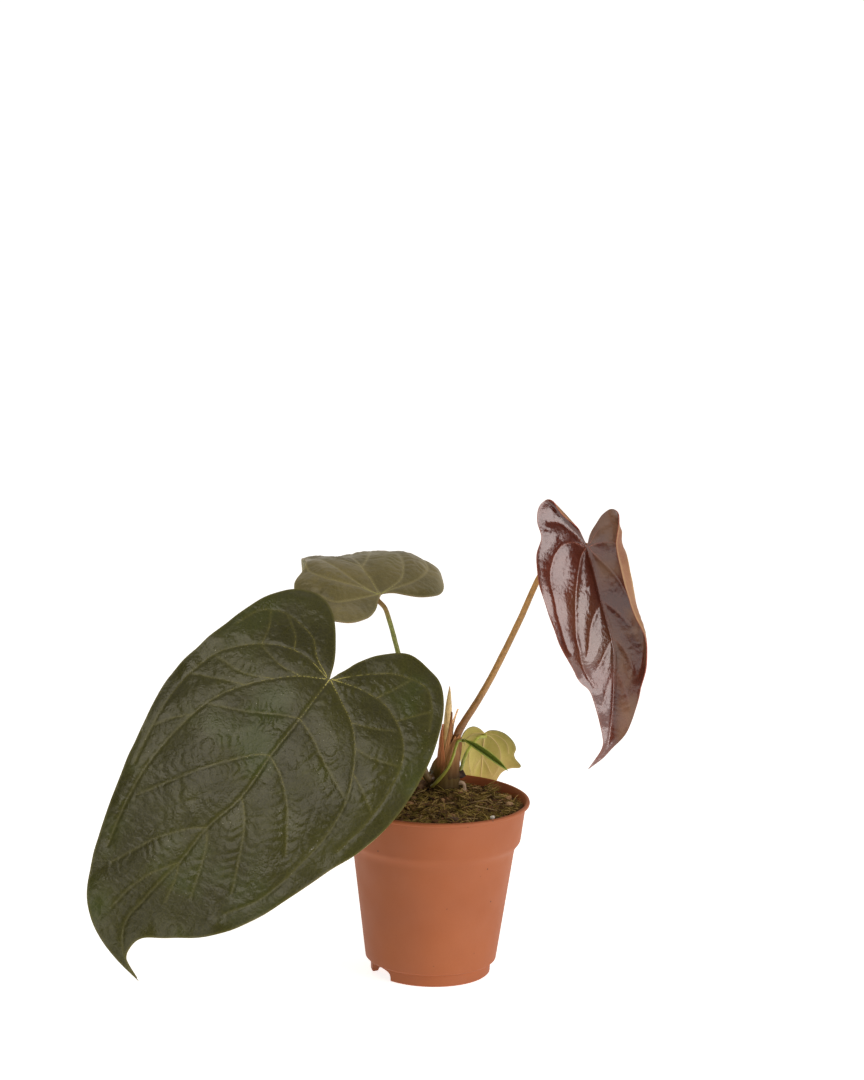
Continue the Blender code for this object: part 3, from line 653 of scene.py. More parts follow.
def leafOutline(leaf, spacing):
    sides = [
        spaced(smoothLine([(0, 0), *leaf[half], leaf["tip"]], 6), spacing) for half in ("left", "right")
    ]
    return np.vstack([sides[0], sides[1][-2:0:-1]])


def noiseAt(flat, size, seed):
    return np.array([noise.noise(Vector((s / size, t / size, seed))) for s, t in flat])


def rungs(flat, place, leaf):
    # the cross veins, like rungs from one vein to the next: 0 on a rung, 1 between two
    sway = noiseAt(flat, leaf["rungGap"] * 1.6, leaf["seed"] + 7)
    phase = place / leaf["rungGap"] + 0.9 * sway
    off = np.abs(phase - np.round(phase))
    return 1 - bump01(off / 0.2)


def quilted(leaf, flat, edge):
    # height of the blade's surface: grooves at the veins, puffed fields between them, waves at the margin
    gaps, places, grooves = [], [], []
    for number, (points, startWidth, _) in enumerate(leaf["veins"]):
        gap, place = nearLine(smoothLine(points, 4), flat)
        gaps.append(gap)
        places.append(place + number * 2.6)
        depth = leaf["groove"] * min(1.4, startWidth / leaf["veins"][1][1]) ** 1.5
        grooves.append(depth * bump01(gap / leaf["grooveReach"]))
    order = np.argsort(gaps, axis=0)
    nearVein, second = (np.take_along_axis(np.array(gaps), order[k : k + 1], 0)[0] for k in (0, 1))
    place = np.take_along_axis(np.array(places), order[:1], 0)[0]
    groove = np.max(grooves, axis=0)
    inner = 1 - bump01(edge / 4)
    uneven = np.clip(0.65 + 1.1 * noiseAt(flat, 18, leaf["seed"] + 3), 0.1, 1.3)
    puff = leaf["puff"] * (1 - bump01(nearVein / leaf["puffReach"]))
    ladder = leaf["rung"] * rungs(flat, place, leaf) * uneven
    ladder *= (1 - bump01(nearVein / 1.6)) * (1 - bump01((second - nearVein) / 2.5))
    fine = leaf["rung"] * 0.35 * noiseAt(flat, 2.6, leaf["seed"] + 2)
    waves = leaf["wave"] * noiseAt(flat, leaf["waveSize"], leaf["seed"])
    ripples = leaf["ripple"] * noiseAt(flat, 16, leaf["seed"] + 5) * bump01(edge / 14)
    return (puff + ladder + fine - groove) * inner + waves + ripples, nearVein


def bladePiece(name, leaf, finishes):
    spacing = leaf["spacing"]
    outline = leafOutline(leaf, spacing)
    low, high = outline.min(0), outline.max(0)
    rows = []
    rowGap = spacing * 0.87  # even triangles
    for row, s in enumerate(np.arange(low[0], high[0], rowGap)):
        t = np.arange(low[1] + (row % 2) * spacing / 2, high[1], spacing)
        rows.append(np.stack([np.full(len(t), s), t], axis=1))
    inner = np.vstack(rows)
    inner = inner[insideOutline(outline, inner)]
    closed = np.vstack([outline, outline[:1]])
    inner = inner[nearLine(closed, inner)[0] > spacing * 0.5]
    points = [Vector(point) for point in [*outline, *inner]]
    edges = [(i, (i + 1) % len(outline)) for i in range(len(outline))]
    made = delaunay_2d_cdt(points, edges, [], 1, 1e-5)
    flat = np.array([tuple(point) for point in made[0]])
    edge = nearLine(closed, flat)[0]
    height, nearVein = quilted(leaf, flat, edge)
    faces = [tuple(reversed(face)) for face in made[2]]  # so that they look up
    piece = meshPiece(name + "Blade", bent(leaf, flat, height), faces)
    setAttribute(piece, "nearVein", nearVein)
    setAttribute(piece, "nearEdge", edge)
    setAttribute(piece, "side", np.clip(-flat[:, 1] / 5, 0, 1))
    paper = piece.data.uv_layers.new(name="flat")
    corners = np.zeros(len(piece.data.loops), np.int32)
    piece.data.loops.foreach_get("vertex_index", corners)
    # the flat blade lies in a square of 400 mm
    paper.data.foreach_set("uv", ((flat[corners] + 100) / 400).astype(np.float32).ravel())
    for finish in finishes:  # upper side, under side, margin
        piece.data.materials.append(finish)
    skin = piece.modifiers.new("thickness", "SOLIDIFY")
    skin.thickness = leaf["thickness"] * mm
    skin.offset = 0
    skin.material_offset = 1
    skin.material_offset_rim = 2
    applyAll(piece)
    smoothShade(piece, 50)
    return piece


def veinPiece(name, leaf, side, widen, proud):
    # rounded ribs that follow the blade's upper (side 1) or under (side -1) surface
    outline = leafOutline(leaf, 3)
    closed = np.vstack([outline, outline[:1]])
    section = [(-1, -1), (-1, 0.1), (-0.55, 0.8), (0, 1), (0.55, 0.8), (1, 0.1), (1, -1)]
    ring = len(section)
    sunk = 0.25  # how deep a vein's foot lies in the blade
    bladeLength = leaf["veins"][0][0][-1][0]
    points, faces, fades = [], [], []
    for route, startWidth, endWidth in leaf["veins"]:
        flat = spaced(smoothLine(route, 6), 1.2)
        height, _ = quilted(leaf, flat, nearLine(closed, flat)[0])
        centre = bent(leaf, flat, height)
        normal = bent(leaf, flat, height + 1) - centre
        normal /= np.linalg.norm(normal, axis=1)[:, None]
        ahead = np.gradient(centre, axis=0)
        across = np.cross(normal, ahead)
        across /= np.linalg.norm(across, axis=1)[:, None]
        share = np.linspace(0, 1, len(flat))
        half = (startWidth + (endWidth - startWidth) * share**0.7) / 2 * widen
        top = leaf["thickness"] / 2 + proud * (half / half[0]) * min(1, startWidth / 0.9)
        bottom = leaf["thickness"] / 2 - sunk
        first = len(points)
        for k in range(len(flat)):
            for x, z in section:
                level = bottom + (top[k] - bottom) * (z + 1) / 2
                points.append(centre[k] + across[k] * x * half[k] + normal[k] * side * level)
                fades.append(np.linalg.norm(flat[k]) / bladeLength)
        for k in range(len(flat) - 1):
            for i in range(ring):
                j = (i + 1) % ring
                a, b = first + k * ring, first + (k + 1) * ring
                faces.append((a + i, a + j, b + j, b + i))
        faces.append(tuple(first + i for i in range(ring)))
        last = first + (len(flat) - 1) * ring
        faces.append(tuple(last + i for i in reversed(range(ring))))
    piece = meshPiece(name, points, faces)
    setAttribute(piece, "along", fades)
    faceOutwards(piece)
    smoothShade(piece, 60)
    return piece


def leafFinish(name, dark, light, patch, glow, roughLow, roughHigh, bumpDepth, beside=0.3, specks=0.0,
               turned=None, **extra):
    # upper or under side of a blade: mottled ground, a little paler at the veins and at the margin
    made = Nodes(name)
    flat = made.place(uv=True)
    broad = made.noise(flat, 11, 4)
    ground = made.ramp(broad, (0.38, dark), (0.6, light))
    ground = made.mix(made.span(made.noise(flat, 5.5, 3), 0.52, 0.66), ground, patch)
    grain = made.noise(flat, 170, 3)
    ground = made.mix(made.span(grain, 0.3, 0.7, 0.0, 0.22), ground, dark)
    net = made.cells(flat, 150)
    ground = made.mix(made.span(net, 0.0, 0.08, 0.16, 0.0), ground, glow)
    ground = made.mix(made.span(made.attribute("nearVein"), 0.1, 1.5, beside, 0.0), ground, glow)
    ground = made.mix(made.span(made.attribute("nearEdge"), 0.0, 1.6, 0.6, 0.0), ground, glow)
    if specks:  # pale dust
        dots = made.cells(flat, 95, "F1")
        where = made.sum(made.span(dots, 0.05, 0.08, specks, 0.0), made.span(broad, 0.45, 0.55), "MULTIPLY")
        ground = made.mix(where, ground, (0.45, 0.42, 0.32))
    sheen = made.span(made.noise(flat, 20, 3), 0.35, 0.65, roughLow, roughHigh)
    if turned:  # patches of a duller skin left of the midrib
        dull = made.sum(made.attribute("side"), made.span(made.noise(flat, 16, 3), 0.4, 0.58), "MULTIPLY")
        ground = made.mix(dull, ground, turned)
        sheen = made.sum(sheen, made.span(dull, 0.0, 1.0, 0.0, 0.3))
    puffed = made.bump(made.span(net, 0.0, 0.3), bumpDepth)
    fine = made.bump(grain, 0.02, 0.5, puffed)
    return made.finish(ground, sheen, fine, **extra)


def veinFinish(name, start, middle, end, roughness=0.45):
    # pale where the veins meet, fading into the blade's own colour towards the margin
    made = Nodes(name, roughness)
    shade = made.ramp(made.attribute("along"), (0.0, start), (0.16, middle), (0.6, end))
    grain = made.noise(made.place(), 700, 3)
    shade = made.mix(made.span(grain, 0.3, 0.7, 0.0, 0.3), shade, end)
    return made.finish(shade, roughness, made.bump(grain, 0.03))


def plainFinish(name, low, high, scale, roughness, bumpDepth=0.08):
    # a mottled finish on object coordinates
    made = Nodes(name)
    grain = made.noise(made.place(), scale, 4, 0.6)
    color = made.ramp(grain, (0.34, low), (0.66, high))
    return made.finish(color, roughness, made.bump(grain, bumpDepth))


def leafMaterials():
    sheets, ribs = {}, {}
    sheets["largeLeaf"] = [
        leafFinish("largeLeafUpper", (0.034, 0.033, 0.005), (0.05, 0.05, 0.008), (0.042, 0.055, 0.007),
                   (0.15, 0.14, 0.035), 0.26, 0.36, 0.06, 0.3, 0.6),
        leafFinish("largeLeafUnder", (0.15, 0.15, 0.04), (0.21, 0.2, 0.06), (0.19, 0.17, 0.05),
                   (0.32, 0.29, 0.11), 0.55, 0.7, 0.1),
        plainFinish("largeLeafEdge", (0.2, 0.15, 0.05), (0.32, 0.24, 0.09), 90, 0.5),
    ]
    ribs["largeLeaf"] = (
        veinFinish("largeLeafVein", (0.62, 0.56, 0.14), (0.3, 0.26, 0.06), (0.14, 0.13, 0.035)),
        veinFinish("largeLeafRib", (0.42, 0.38, 0.16), (0.34, 0.3, 0.13), (0.28, 0.25, 0.1)),
    )
    # partly painted sheen: this upper side's ground is much paler and greyer than the large leaf's, standing
    # in for the grazing sheen on it; the olive under it is the leaf's own colour
    sheets["upperLeaf"] = [
        leafFinish("upperLeafUpper", (0.12, 0.103, 0.032), (0.2, 0.168, 0.066), (0.17, 0.15, 0.048),
                   (0.34, 0.3, 0.13), 0.34, 0.46, 0.06, 0.5),
        leafFinish("upperLeafUnder", (0.13, 0.12, 0.05), (0.19, 0.17, 0.08), (0.16, 0.15, 0.06),
                   (0.28, 0.25, 0.12), 0.6, 0.72, 0.08),
        plainFinish("upperLeafEdge", (0.16, 0.1, 0.04), (0.24, 0.15, 0.07), 90, 0.5),
    ]
    ribs["upperLeaf"] = (
        veinFinish("upperLeafVein", (0.5, 0.54, 0.11), (0.42, 0.4, 0.15), (0.36, 0.32, 0.14)),
        veinFinish("upperLeafRib", (0.3, 0.27, 0.11), (0.28, 0.24, 0.11), (0.24, 0.2, 0.09)),
    )
    sheets["redLeaf"] = [
        leafFinish("redLeafUpper", (0.07, 0.014, 0.008), (0.12, 0.03, 0.017), (0.09, 0.032, 0.014),
                   (0.17, 0.05, 0.025), 0.15, 0.24, 0.06, 0.3, 0.0, (0.17, 0.075, 0.035), Coat_Weight=0.4,
                   Coat_Roughness=0.15, Coat_IOR=1.55),
        leafFinish("redLeafUnder", (0.2, 0.075, 0.035), (0.28, 0.14, 0.06), (0.27, 0.17, 0.075),
                   (0.4, 0.26, 0.12), 0.55, 0.7, 0.08),
        plainFinish("redLeafEdge", (0.25, 0.05, 0.03), (0.36, 0.09, 0.05), 90, 0.4),
    ]
    ribs["redLeaf"] = (
        veinFinish("redLeafVein", (0.42, 0.13, 0.075), (0.22, 0.06, 0.03), (0.13, 0.035, 0.018), 0.3),
        veinFinish("redLeafRib", (0.42, 0.2, 0.1), (0.44, 0.28, 0.13), (0.5, 0.34, 0.16), 0.55),
    )
    sheets["smallLeaf"] = [
        leafFinish("smallLeafUpper", (0.06, 0.075, 0.01), (0.1, 0.12, 0.018), (0.09, 0.1, 0.02),
                   (0.25, 0.26, 0.07), 0.35, 0.5, 0.04),
        leafFinish("smallLeafUnder", (0.44, 0.38, 0.07), (0.6, 0.52, 0.13), (0.56, 0.44, 0.15),
                   (0.66, 0.52, 0.2), 0.5, 0.65, 0.05),
        plainFinish("smallLeafEdge", (0.13, 0.15, 0.03), (0.2, 0.22, 0.05), 90, 0.5),
    ]
    ribs["smallLeaf"] = (
        veinFinish("smallLeafVein", (0.3, 0.36, 0.06), (0.25, 0.28, 0.06), (0.2, 0.2, 0.05)),
        veinFinish("smallLeafRib", (0.7, 0.6, 0.2), (0.66, 0.5, 0.2), (0.6, 0.48, 0.18)),
    )
    sheets["juvenileLeaf"] = [
        leafFinish("juvenileLeafUpper", (0.085, 0.12, 0.012), (0.13, 0.18, 0.02), (0.11, 0.15, 0.016),
                   (0.22, 0.27, 0.04), 0.4, 0.55, 0.02),
        leafFinish("juvenileLeafUnder", (0.07, 0.1, 0.015), (0.11, 0.15, 0.025), (0.1, 0.13, 0.02),
                   (0.18, 0.22, 0.05), 0.45, 0.6, 0.02),
        plainFinish("juvenileLeafEdge", (0.2, 0.26, 0.03), (0.28, 0.34, 0.05), 90, 0.5),
    ]
    ribs["juvenileLeaf"] = (
        veinFinish("juvenileLeafVein", (0.24, 0.32, 0.05), (0.14, 0.18, 0.03), (0.1, 0.13, 0.02)),
        veinFinish("juvenileLeafRib", (0.26, 0.34, 0.05), (0.2, 0.26, 0.04), (0.16, 0.2, 0.03)),
    )
    return sheets, ribs


def addLeaves():
    sheets, ribs = leafMaterials()
    for name, leaf in leaves.items():
        blade = bladePiece(name, leaf, sheets[name])
        dress(blade, [], leaf["slot"], leaf["node"])
        upper = veinPiece(name + "Veins", leaf, 1, 0.6, 0.06)
        dress(upper, [ribs[name][0]], leaf["slot"])
        under = veinPiece(name + "Ribs", leaf, -1, 1.2, 0.35)
        dress(under, [ribs[name][1]], leaf["slot"])
        print("leaf", name, len(blade.data.polygons))


addLeaves()

# leaf stalks

stalks = {
    "largeStalk": {
        "node": "large_leaf_stalk",
        "leaf": "largeLeaf",
        "start": (-2.1, 11.6, 122),
        "lead": (-4.0, 9.9, 122),
        "via": [(-6, 8, 125), (-11, 4, 138), (-22, -3, 160), (-40, -14, 184), (-56, -21, 196)],
        "radii": (2.8, 1.9),
        "ramp": [(0.0, (0.1, 0.05, 0.02)), (0.3, (0.16, 0.12, 0.04)), (0.8, (0.22, 0.22, 0.06)),
                 (0.93, (0.34, 0.34, 0.1))],
    },
    "upperStalk": {
        "node": "upper_leaf_stalk",
        "leaf": "upperLeaf",
        "start": (-3.3, 23.0, 121),
        "lead": (-5.4, 24.3, 121),
        "via": [(-8, 24.8, 125), (-10, 27, 137.5), (-14, 29, 157), (-26, 36, 198), (-30, 39, 211.5),
                (-34.5, 41.5, 224)],
        "radii": (1.8, 1.5),
        "ramp": [(0.0, (0.16, 0.08, 0.03)), (0.35, (0.2, 0.22, 0.05)), (0.66, (0.25, 0.28, 0.06)),
                 (0.74, (0.3, 0.2, 0.06)), (0.9, (0.32, 0.17, 0.06)), (1.0, (0.36, 0.32, 0.12))],
    },
    "redStalk": {
        "node": "red_leaf_stalk",
        "leaf": "redLeaf",
        "start": (10, 18, 127.3),
        "lead": (10, 18, 129.8),
        "via": [(11, 18, 140), (14, 17, 151), (18, 16.5, 159), (26, 15, 173), (36, 14, 193), (50, 12, 225),
                (62, 9, 255), (74, 5, 273)],
        "radii": (3.4, 1.6),
        "ramp": [(0.0, (0.2, 0.09, 0.04)), (0.3, (0.28, 0.13, 0.045)), (0.5, (0.42, 0.22, 0.06)),
                 (0.85, (0.5, 0.25, 0.055)), (1.0, (0.42, 0.14, 0.07))],
    },
    "smallStalk": {
        "node": "small_leaf_stalk",
        "leaf": "smallLeaf",
        "start": (12.9, 23.7, 121),
        "lead": (14.9, 25.2, 121),
        "via": [(16.5, 27, 125), (18.5, 31, 131), (21.5, 37, 135.5), (27, 46, 140)],
        "radii": (1.3, 1.0),
        "ramp": [(0.0, (0.24, 0.24, 0.03)), (0.4, (0.36, 0.42, 0.05)), (1.0, (0.46, 0.48, 0.09))],
    },
    "juvenileStalk": {
        "node": "juvenile_leaf_stalk",
        "leaf": "juvenileLeaf",
        "start": (-0.5, 10.1, 117.5),
        "lead": (-1.9, 8.1, 117.5),
        "via": [(0.5, 6.2, 120.5), (4, 5.5, 124.7), (8, 5.8, 130.6), (10.8, 7, 137.4), (12.1, 9, 142),
                (13.8, 10.5, 146.6)],
        "radii": (1.2, 0.9),
        "ramp": [(0.0, (0.2, 0.17, 0.03)), (0.5, (0.3, 0.32, 0.03)), (1.0, (0.2, 0.24, 0.025))],
    },
}


def tubePiece(name, route, radii, sides=6):
    # a bevelled curve along the route, turned into a mesh
    line = bpy.data.curves.new(name, "CURVE")
    line.dimensions = "3D"
    line.bevel_depth = mm
    line.bevel_resolution = sides
    line.use_fill_caps = True
    spline = line.splines.new("POLY")
    spline.points.add(len(route) - 1)
    for point, place, radius in zip(spline.points, route, radii):
        point.co = (*(Vector(place) * mm), 1)
        point.radius = radius
    piece = bpy.data.objects.new(name, line)
    bpy.context.scene.collection.objects.link(piece)
    pick(piece)
    bpy.ops.object.convert(target="MESH")
    piece = bpy.context.active_object
    faceOutwards(piece)
    smoothShade(piece, 55)
    spots = np.array([vertex.co for vertex in piece.data.vertices]) / mm
    nearest = np.array([np.argmin(((route - spot) ** 2).sum(1)) for spot in spots])
    setAttribute(piece, "along", nearest / (len(route) - 1))
    return piece


def roughen(piece, depth, size, seed):
    for vertex in piece.data.vertices:
        push = noise.noise(vertex.co / (size * mm) + Vector((seed, 0, 0)))
        vertex.co += vertex.normal * push * depth * mm


def stalkFinish(name, stops, roughness=0.4):
    made = Nodes(name, roughness)
    shade = made.ramp(made.attribute("along"), *stops)
    place = made.place()
    mottle = made.noise(place, 420, 3)
    streak = made.noise(place, 1500, 2)
    shade = made.mix(made.span(mottle, 0.4, 0.7, 0.0, 0.35), shade, (0.1, 0.06, 0.02), "MULTIPLY")
    return made.finish(shade, made.span(streak, 0.3, 0.7, roughness - 0.06, roughness + 0.1),
                       made.bump(streak, 0.06, 0.5))


def addStalks():
    for name, stalk in stalks.items():
        leaf = leaves[stalk["leaf"]]
        forward, _, up = leafAxes(leaf)
        baseRadius, topRadius = stalk["radii"]
        swell = topRadius * 0.25  # the joint under the blade is a little thicker
        lead = math.radians(along(leaf["droop"], 0))
        start = forward * math.cos(lead) - up * math.sin(lead)
        under = up * math.cos(lead) + forward * math.sin(lead)
        top = np.array(leaf["junction"]) + start * (topRadius + swell) * 0.9 - under * leaf["thickness"] / 2
        approach = top - under * 3 * topRadius - start * topRadius
        route = np.vstack([[stalk["start"]], smoothLine([stalk["lead"], *stalk["via"], approach, top], 8)])
        share = np.linspace(0, 1, len(route))
        radii = baseRadius + (topRadius - baseRadius) * np.sqrt(share)
        radii += swell * np.clip((share - 0.82) / 0.1, 0, 1)
        piece = tubePiece(name, route, radii)
        roughen(piece, 0.12, 4, len(name))
        slotName = "orange_stalk" if name == "redStalk" else "green_stalk"
        dress(piece, [stalkFinish(name + "Skin", stalk["ramp"])], slotName, stalk["node"])
    print("stalks ready")


addStalks()

# pot

potSet = {
    "sides": 144,
    "footInside": 30.7,
    "footOutside": 38.1,
    "profile": [  # radius and height, from the middle of the underside round the lip to the floor inside
        (12, 0), (12.6, 1.2), (13.4, 2.2), (32.2, 2.2), (33.2, 1.6), (33.8, 0.2), (34.4, 0), (37.2, 0),
        (37.8, 0.5),
        (38.1, 7.2), (38.6, 7.7), (40.8, 8.6), (41.4, 9.2), (42.0, 13.4), (50.9, 79.0), (51.4, 81.6),
        (52.4, 83.6), (53.8, 85.4), (54.6, 86.6), (55.0, 88.2), (57.5, 109.4), (58.0, 109.9),
        (59.4, 110.0),
        (59.9, 110.5), (60.0, 111.2), (59.7, 112.0), (59.0, 112.4), (58.2, 112.5), (57.6, 112.2),
        (57.2, 111.4), (56.3, 109.0), (53.6, 87.0), (50.0, 82.0), (40.4, 10.4), (36.4, 5.4), (34.4, 3.6),
    ],
    "notches": (-148.0, 32.0),
    "notchWidth": 22.0,
    "notchHeight": 7.0,
    "notchSquareness": 0.4,
    "drains": 6,
    "drainRadius": 3.5,
    "drainCircle": 24.0,
    "drainDepth": 9.0,
    "drainStart": 34.0,
}


def potFinish():
    made = Nodes("terracottaPlastic", 0.45)
    place = made.place()
    broad = made.noise(place, 14, 3)
    color = made.ramp(broad, (0.3, (0.285, 0.073, 0.017)), (0.7, (0.345, 0.095, 0.024)))
    grain = made.noise(place, 900, 3)
    color = made.mix(made.span(grain, 0.35, 0.65, 0.0, 0.2), color, (0.27, 0.07, 0.018))
    dots = made.cells(place, 150, "F1")
    where = made.span(made.noise(place, 60, 2), 0.58, 0.62)
    dirt = made.sum(made.span(dots, 0.07, 0.11, 0.7, 0.0), where, "MULTIPLY")
    color = made.mix(dirt, color, (0.05, 0.02, 0.01))
    sheen = made.span(made.noise(place, 45, 4), 0.3, 0.7, 0.6, 0.72)
    fine = made.bump(grain, 0.05, 0.5)
    return made.finish(color, sheen, made.bump(made.noise(place, 240, 2), 0.06, 0.5, fine))


def cutWith(piece, cutter):
    cut = piece.modifiers.new("cut", "BOOLEAN")
    cut.operation = "DIFFERENCE"
    cut.object = cutter
    applyAll(piece)
    bpy.data.objects.remove(cutter)


def addPot():
    profile = potSet["profile"]
    deselectAll()
    bpy.ops.mesh.primitive_circle_add(
        vertices=potSet["sides"], radius=profile[0][0] * mm, fill_type="NGON", location=(0, 0, 0))
    pot = bpy.context.active_object
    pot.name = "pot_wall"
    bpy.ops.object.mode_set(mode="EDIT")
    bpy.ops.mesh.select_all(action="SELECT")
    for (radius, height), (nextRadius, nextHeight) in zip(profile, profile[1:]):
        bpy.ops.mesh.extrude_region_move(
            TRANSFORM_OT_translate={"value": (0, 0, (nextHeight - height) * mm)})
        share = nextRadius / radius
        bpy.ops.transform.resize(value=(share, share, 1), center_override=(0, 0, 0))
    bpy.ops.mesh.select_all(action="SELECT")
    bpy.ops.mesh.normals_make_consistent(inside=False)
    bpy.ops.object.mode_set(mode="OBJECT")
    for compass in potSet["notches"]:
        turn = math.radians(compass)
        out = np.array([math.cos(turn), math.sin(turn), 0])
        side = np.array([-math.sin(turn), math.cos(turn), 0])
        half, high = potSet["notchWidth"] / 2, potSet["notchHeight"]
        feet = potSet["footInside"], potSet["footOutside"]
        arch = [(half * math.cos(a), high * math.sin(a) ** potSet["notchSquareness"])
                for a in np.linspace(0.06, math.pi - 0.06, 25)]
        section = [(half, -5), *arch, (-half, -5)]
        ring = [out * reach + side * x + (0, 0, z) for reach in feet for x, z in section]
        count = len(section)
        walls = [(i, (i + 1) % count, count + (i + 1) % count, count + i) for i in range(count)]
        ends = tuple(range(count))[::-1], tuple(range(count, 2 * count))
        cutter = meshPiece("notchCutter", ring, [*walls, *ends])
        faceOutwards(cutter)
        cutWith(pot, cutter)
    circle, depth = potSet["drainCircle"] * mm, potSet["drainDepth"] * mm
    for number in range(potSet["drains"]):
        turn = math.radians(potSet["drainStart"] + number * 360 / potSet["drains"])
        deselectAll()
        bpy.ops.mesh.primitive_cylinder_add(
            vertices=32, radius=potSet["drainRadius"] * mm, depth=depth,
            location=(circle * math.cos(turn), circle * math.sin(turn), depth / 2))
        cutWith(pot, bpy.context.active_object)
    smoothShade(pot, 32)
    dress(pot, [potFinish()], "pot_plastic", "pot")
    print("pot ready", len(pot.data.polygons))


addPot()

# growing medium, moss and what lies on it

mediumSet = {
    "top": 110.0,  # height of the medium in the middle of its slope
    "fall": 4.5,
    "crown": (5.0, 18.0),
    "moundHeight": 7.0,
    "moundSpread": 26.0,
    "rimRadius": 60.0,
    "radius": 55.4,
    "grid": 190,
    "lumps": 3.8,
    "edge": 55.5,  # how far out the bits on the moss may reach
    "clear": 9.0,  # fibres and crumbs keep this far from the middle of the crown
    "fibres": 4600,
    "fibreReach": 54.0,
    "straws": 90,
    "strawReach": 53.0,
    "strawClear": 12.0,
    "crumbs": 1500,
    "crumbReach": 54.5,
}


def fromCrown(x, y):
    crownX, crownY = mediumSet["crown"]
    return math.hypot(x - crownX, y - crownY)


def groundHeight(x, y):
    mound = mediumSet["moundHeight"] * math.exp(-((fromCrown(x, y) / mediumSet["moundSpread"]) ** 2))
    return mediumSet["top"] - mediumSet["fall"] * (0.5 + y / mediumSet["rimRadius"] / 2) + mound


def lumpAt(x, y):
    broad = noise.noise(Vector((x / 10, y / 10, 2.0)))
    clump = noise.noise(Vector((x / 5, y / 5, 5.0)))
    fine = noise.noise(Vector((x / 2.4, y / 2.4, 8.0)))
    return mediumSet["lumps"] * (broad + 0.6 * clump + 0.25 * fine)


def groundAt(x, y):
    return groundHeight(x, y) + lumpAt(x, y)


def mossFinish():
    made = Nodes("mossGround", 0.95)
    place = made.place()
    broad = made.noise(place, 110, 4)
    color = made.ramp(broad, (0.32, (0.02, 0.01, 0.004)), (0.5, (0.075, 0.042, 0.015)),
                      (0.66, (0.13, 0.09, 0.025)))
    grain = made.noise(place, 900, 5, 0.7)
    color = made.mix(made.span(grain, 0.4, 0.65, 0.0, 0.7), color, (0.24, 0.14, 0.055))
    return made.finish(color, 0.95, made.bump(grain, 0.9), Specular_IOR_Level=0.2)


def shadeFinish(name, stops, roughness=0.8):
    # every strand or crumb has its own shade between these stops
    made = Nodes(name, roughness)
    color = made.ramp(made.attribute("shade"), *stops)
    grain = made.noise(made.place(), 1600, 3)
    color = made.mix(made.span(grain, 0.35, 0.7, 0.0, 0.45), color, (0.35, 0.3, 0.2), "MULTIPLY")
    return made.finish(color, roughness, made.bump(grain, 0.12), Specular_IOR_Level=0.25)


def addGround():
    deselectAll()
    radius = mediumSet["radius"]
    count = mediumSet["grid"]
    bpy.ops.mesh.primitive_grid_add(x_subdivisions=count, y_subdivisions=count, size=2 * radius * mm)
    ground = bpy.context.active_object
    ground.name = "mossGround"
    shaped = bmesh.new()
    shaped.from_mesh(ground.data)
    outside = [vertex for vertex in shaped.verts if vertex.co.xy.length > (radius + 0.4) * mm]
    bmesh.ops.delete(shaped, geom=outside, context="VERTS")
    for vertex in shaped.verts:
        x, y = vertex.co.x / mm, vertex.co.y / mm
        vertex.co.z = groundAt(x, y) * mm
        if vertex.is_boundary:
            vertex.co.xy = vertex.co.xy.normalized() * radius * mm
    shaped.to_mesh(ground.data)
    shaped.free()
    skin = ground.modifiers.new("thickness", "SOLIDIFY")
    skin.thickness = 2.5 * mm
    skin.offset = -1
    applyAll(ground)
    faceOutwards(ground)
    smoothShade(ground, 60)
    dress(ground, [mossFinish()], "moss", "moss_layer")


def strandShape(sides, steps):
    # one strand of unit length along X, thick 1 at its root and thin at its tip
    points, faces = [], []
    for step in range(steps + 1):
        share = step / steps
        thick = 0.5 * (1 - 0.75 * share)
        for k in range(sides):
            turn = 2 * math.pi * k / sides
            points.append((share, thick * math.cos(turn), thick * math.sin(turn)))
    for step in range(steps):
        for k in range(sides):
            j = (k + 1) % sides
            a, b = step * sides, (step + 1) * sides
            faces.append((a + k, a + j, b + j, b + k))
    faces.append(tuple(reversed(range(sides))))
    faces.append(tuple(range(steps * sides, (steps + 1) * sides)))
    return np.array(points), faces


def scattered(name, shape, placed):
    # many copies of one shape as a single mesh, each with its own place, shape change and shade
    base, baseFaces = shape
    points, faces, shades = [], [], []
    for change, shade in placed:
        first = len(points) * len(base)
        points.append(change(base))
        faces += [tuple(first + i for i in face) for face in baseFaces]
        shades += [shade] * len(base)
    piece = meshPiece(name, np.vstack(points), faces)
    setAttribute(piece, "shade", shades)
    return piece


def strandChange(x, y, z, length, thick, compass, rise, bend, sway):
    def change(base):
        share = base[:, 0]
        reach = share * length
        c, w = math.cos(compass), math.sin(compass)
        side = base[:, 1] * thick + sway * share * share
        up = base[:, 2] * thick + rise * reach + bend * share * (1 - share) * length
        return np.stack([x + reach * c - side * w, y + reach * w + side * c, z + up], axis=1)

    return change


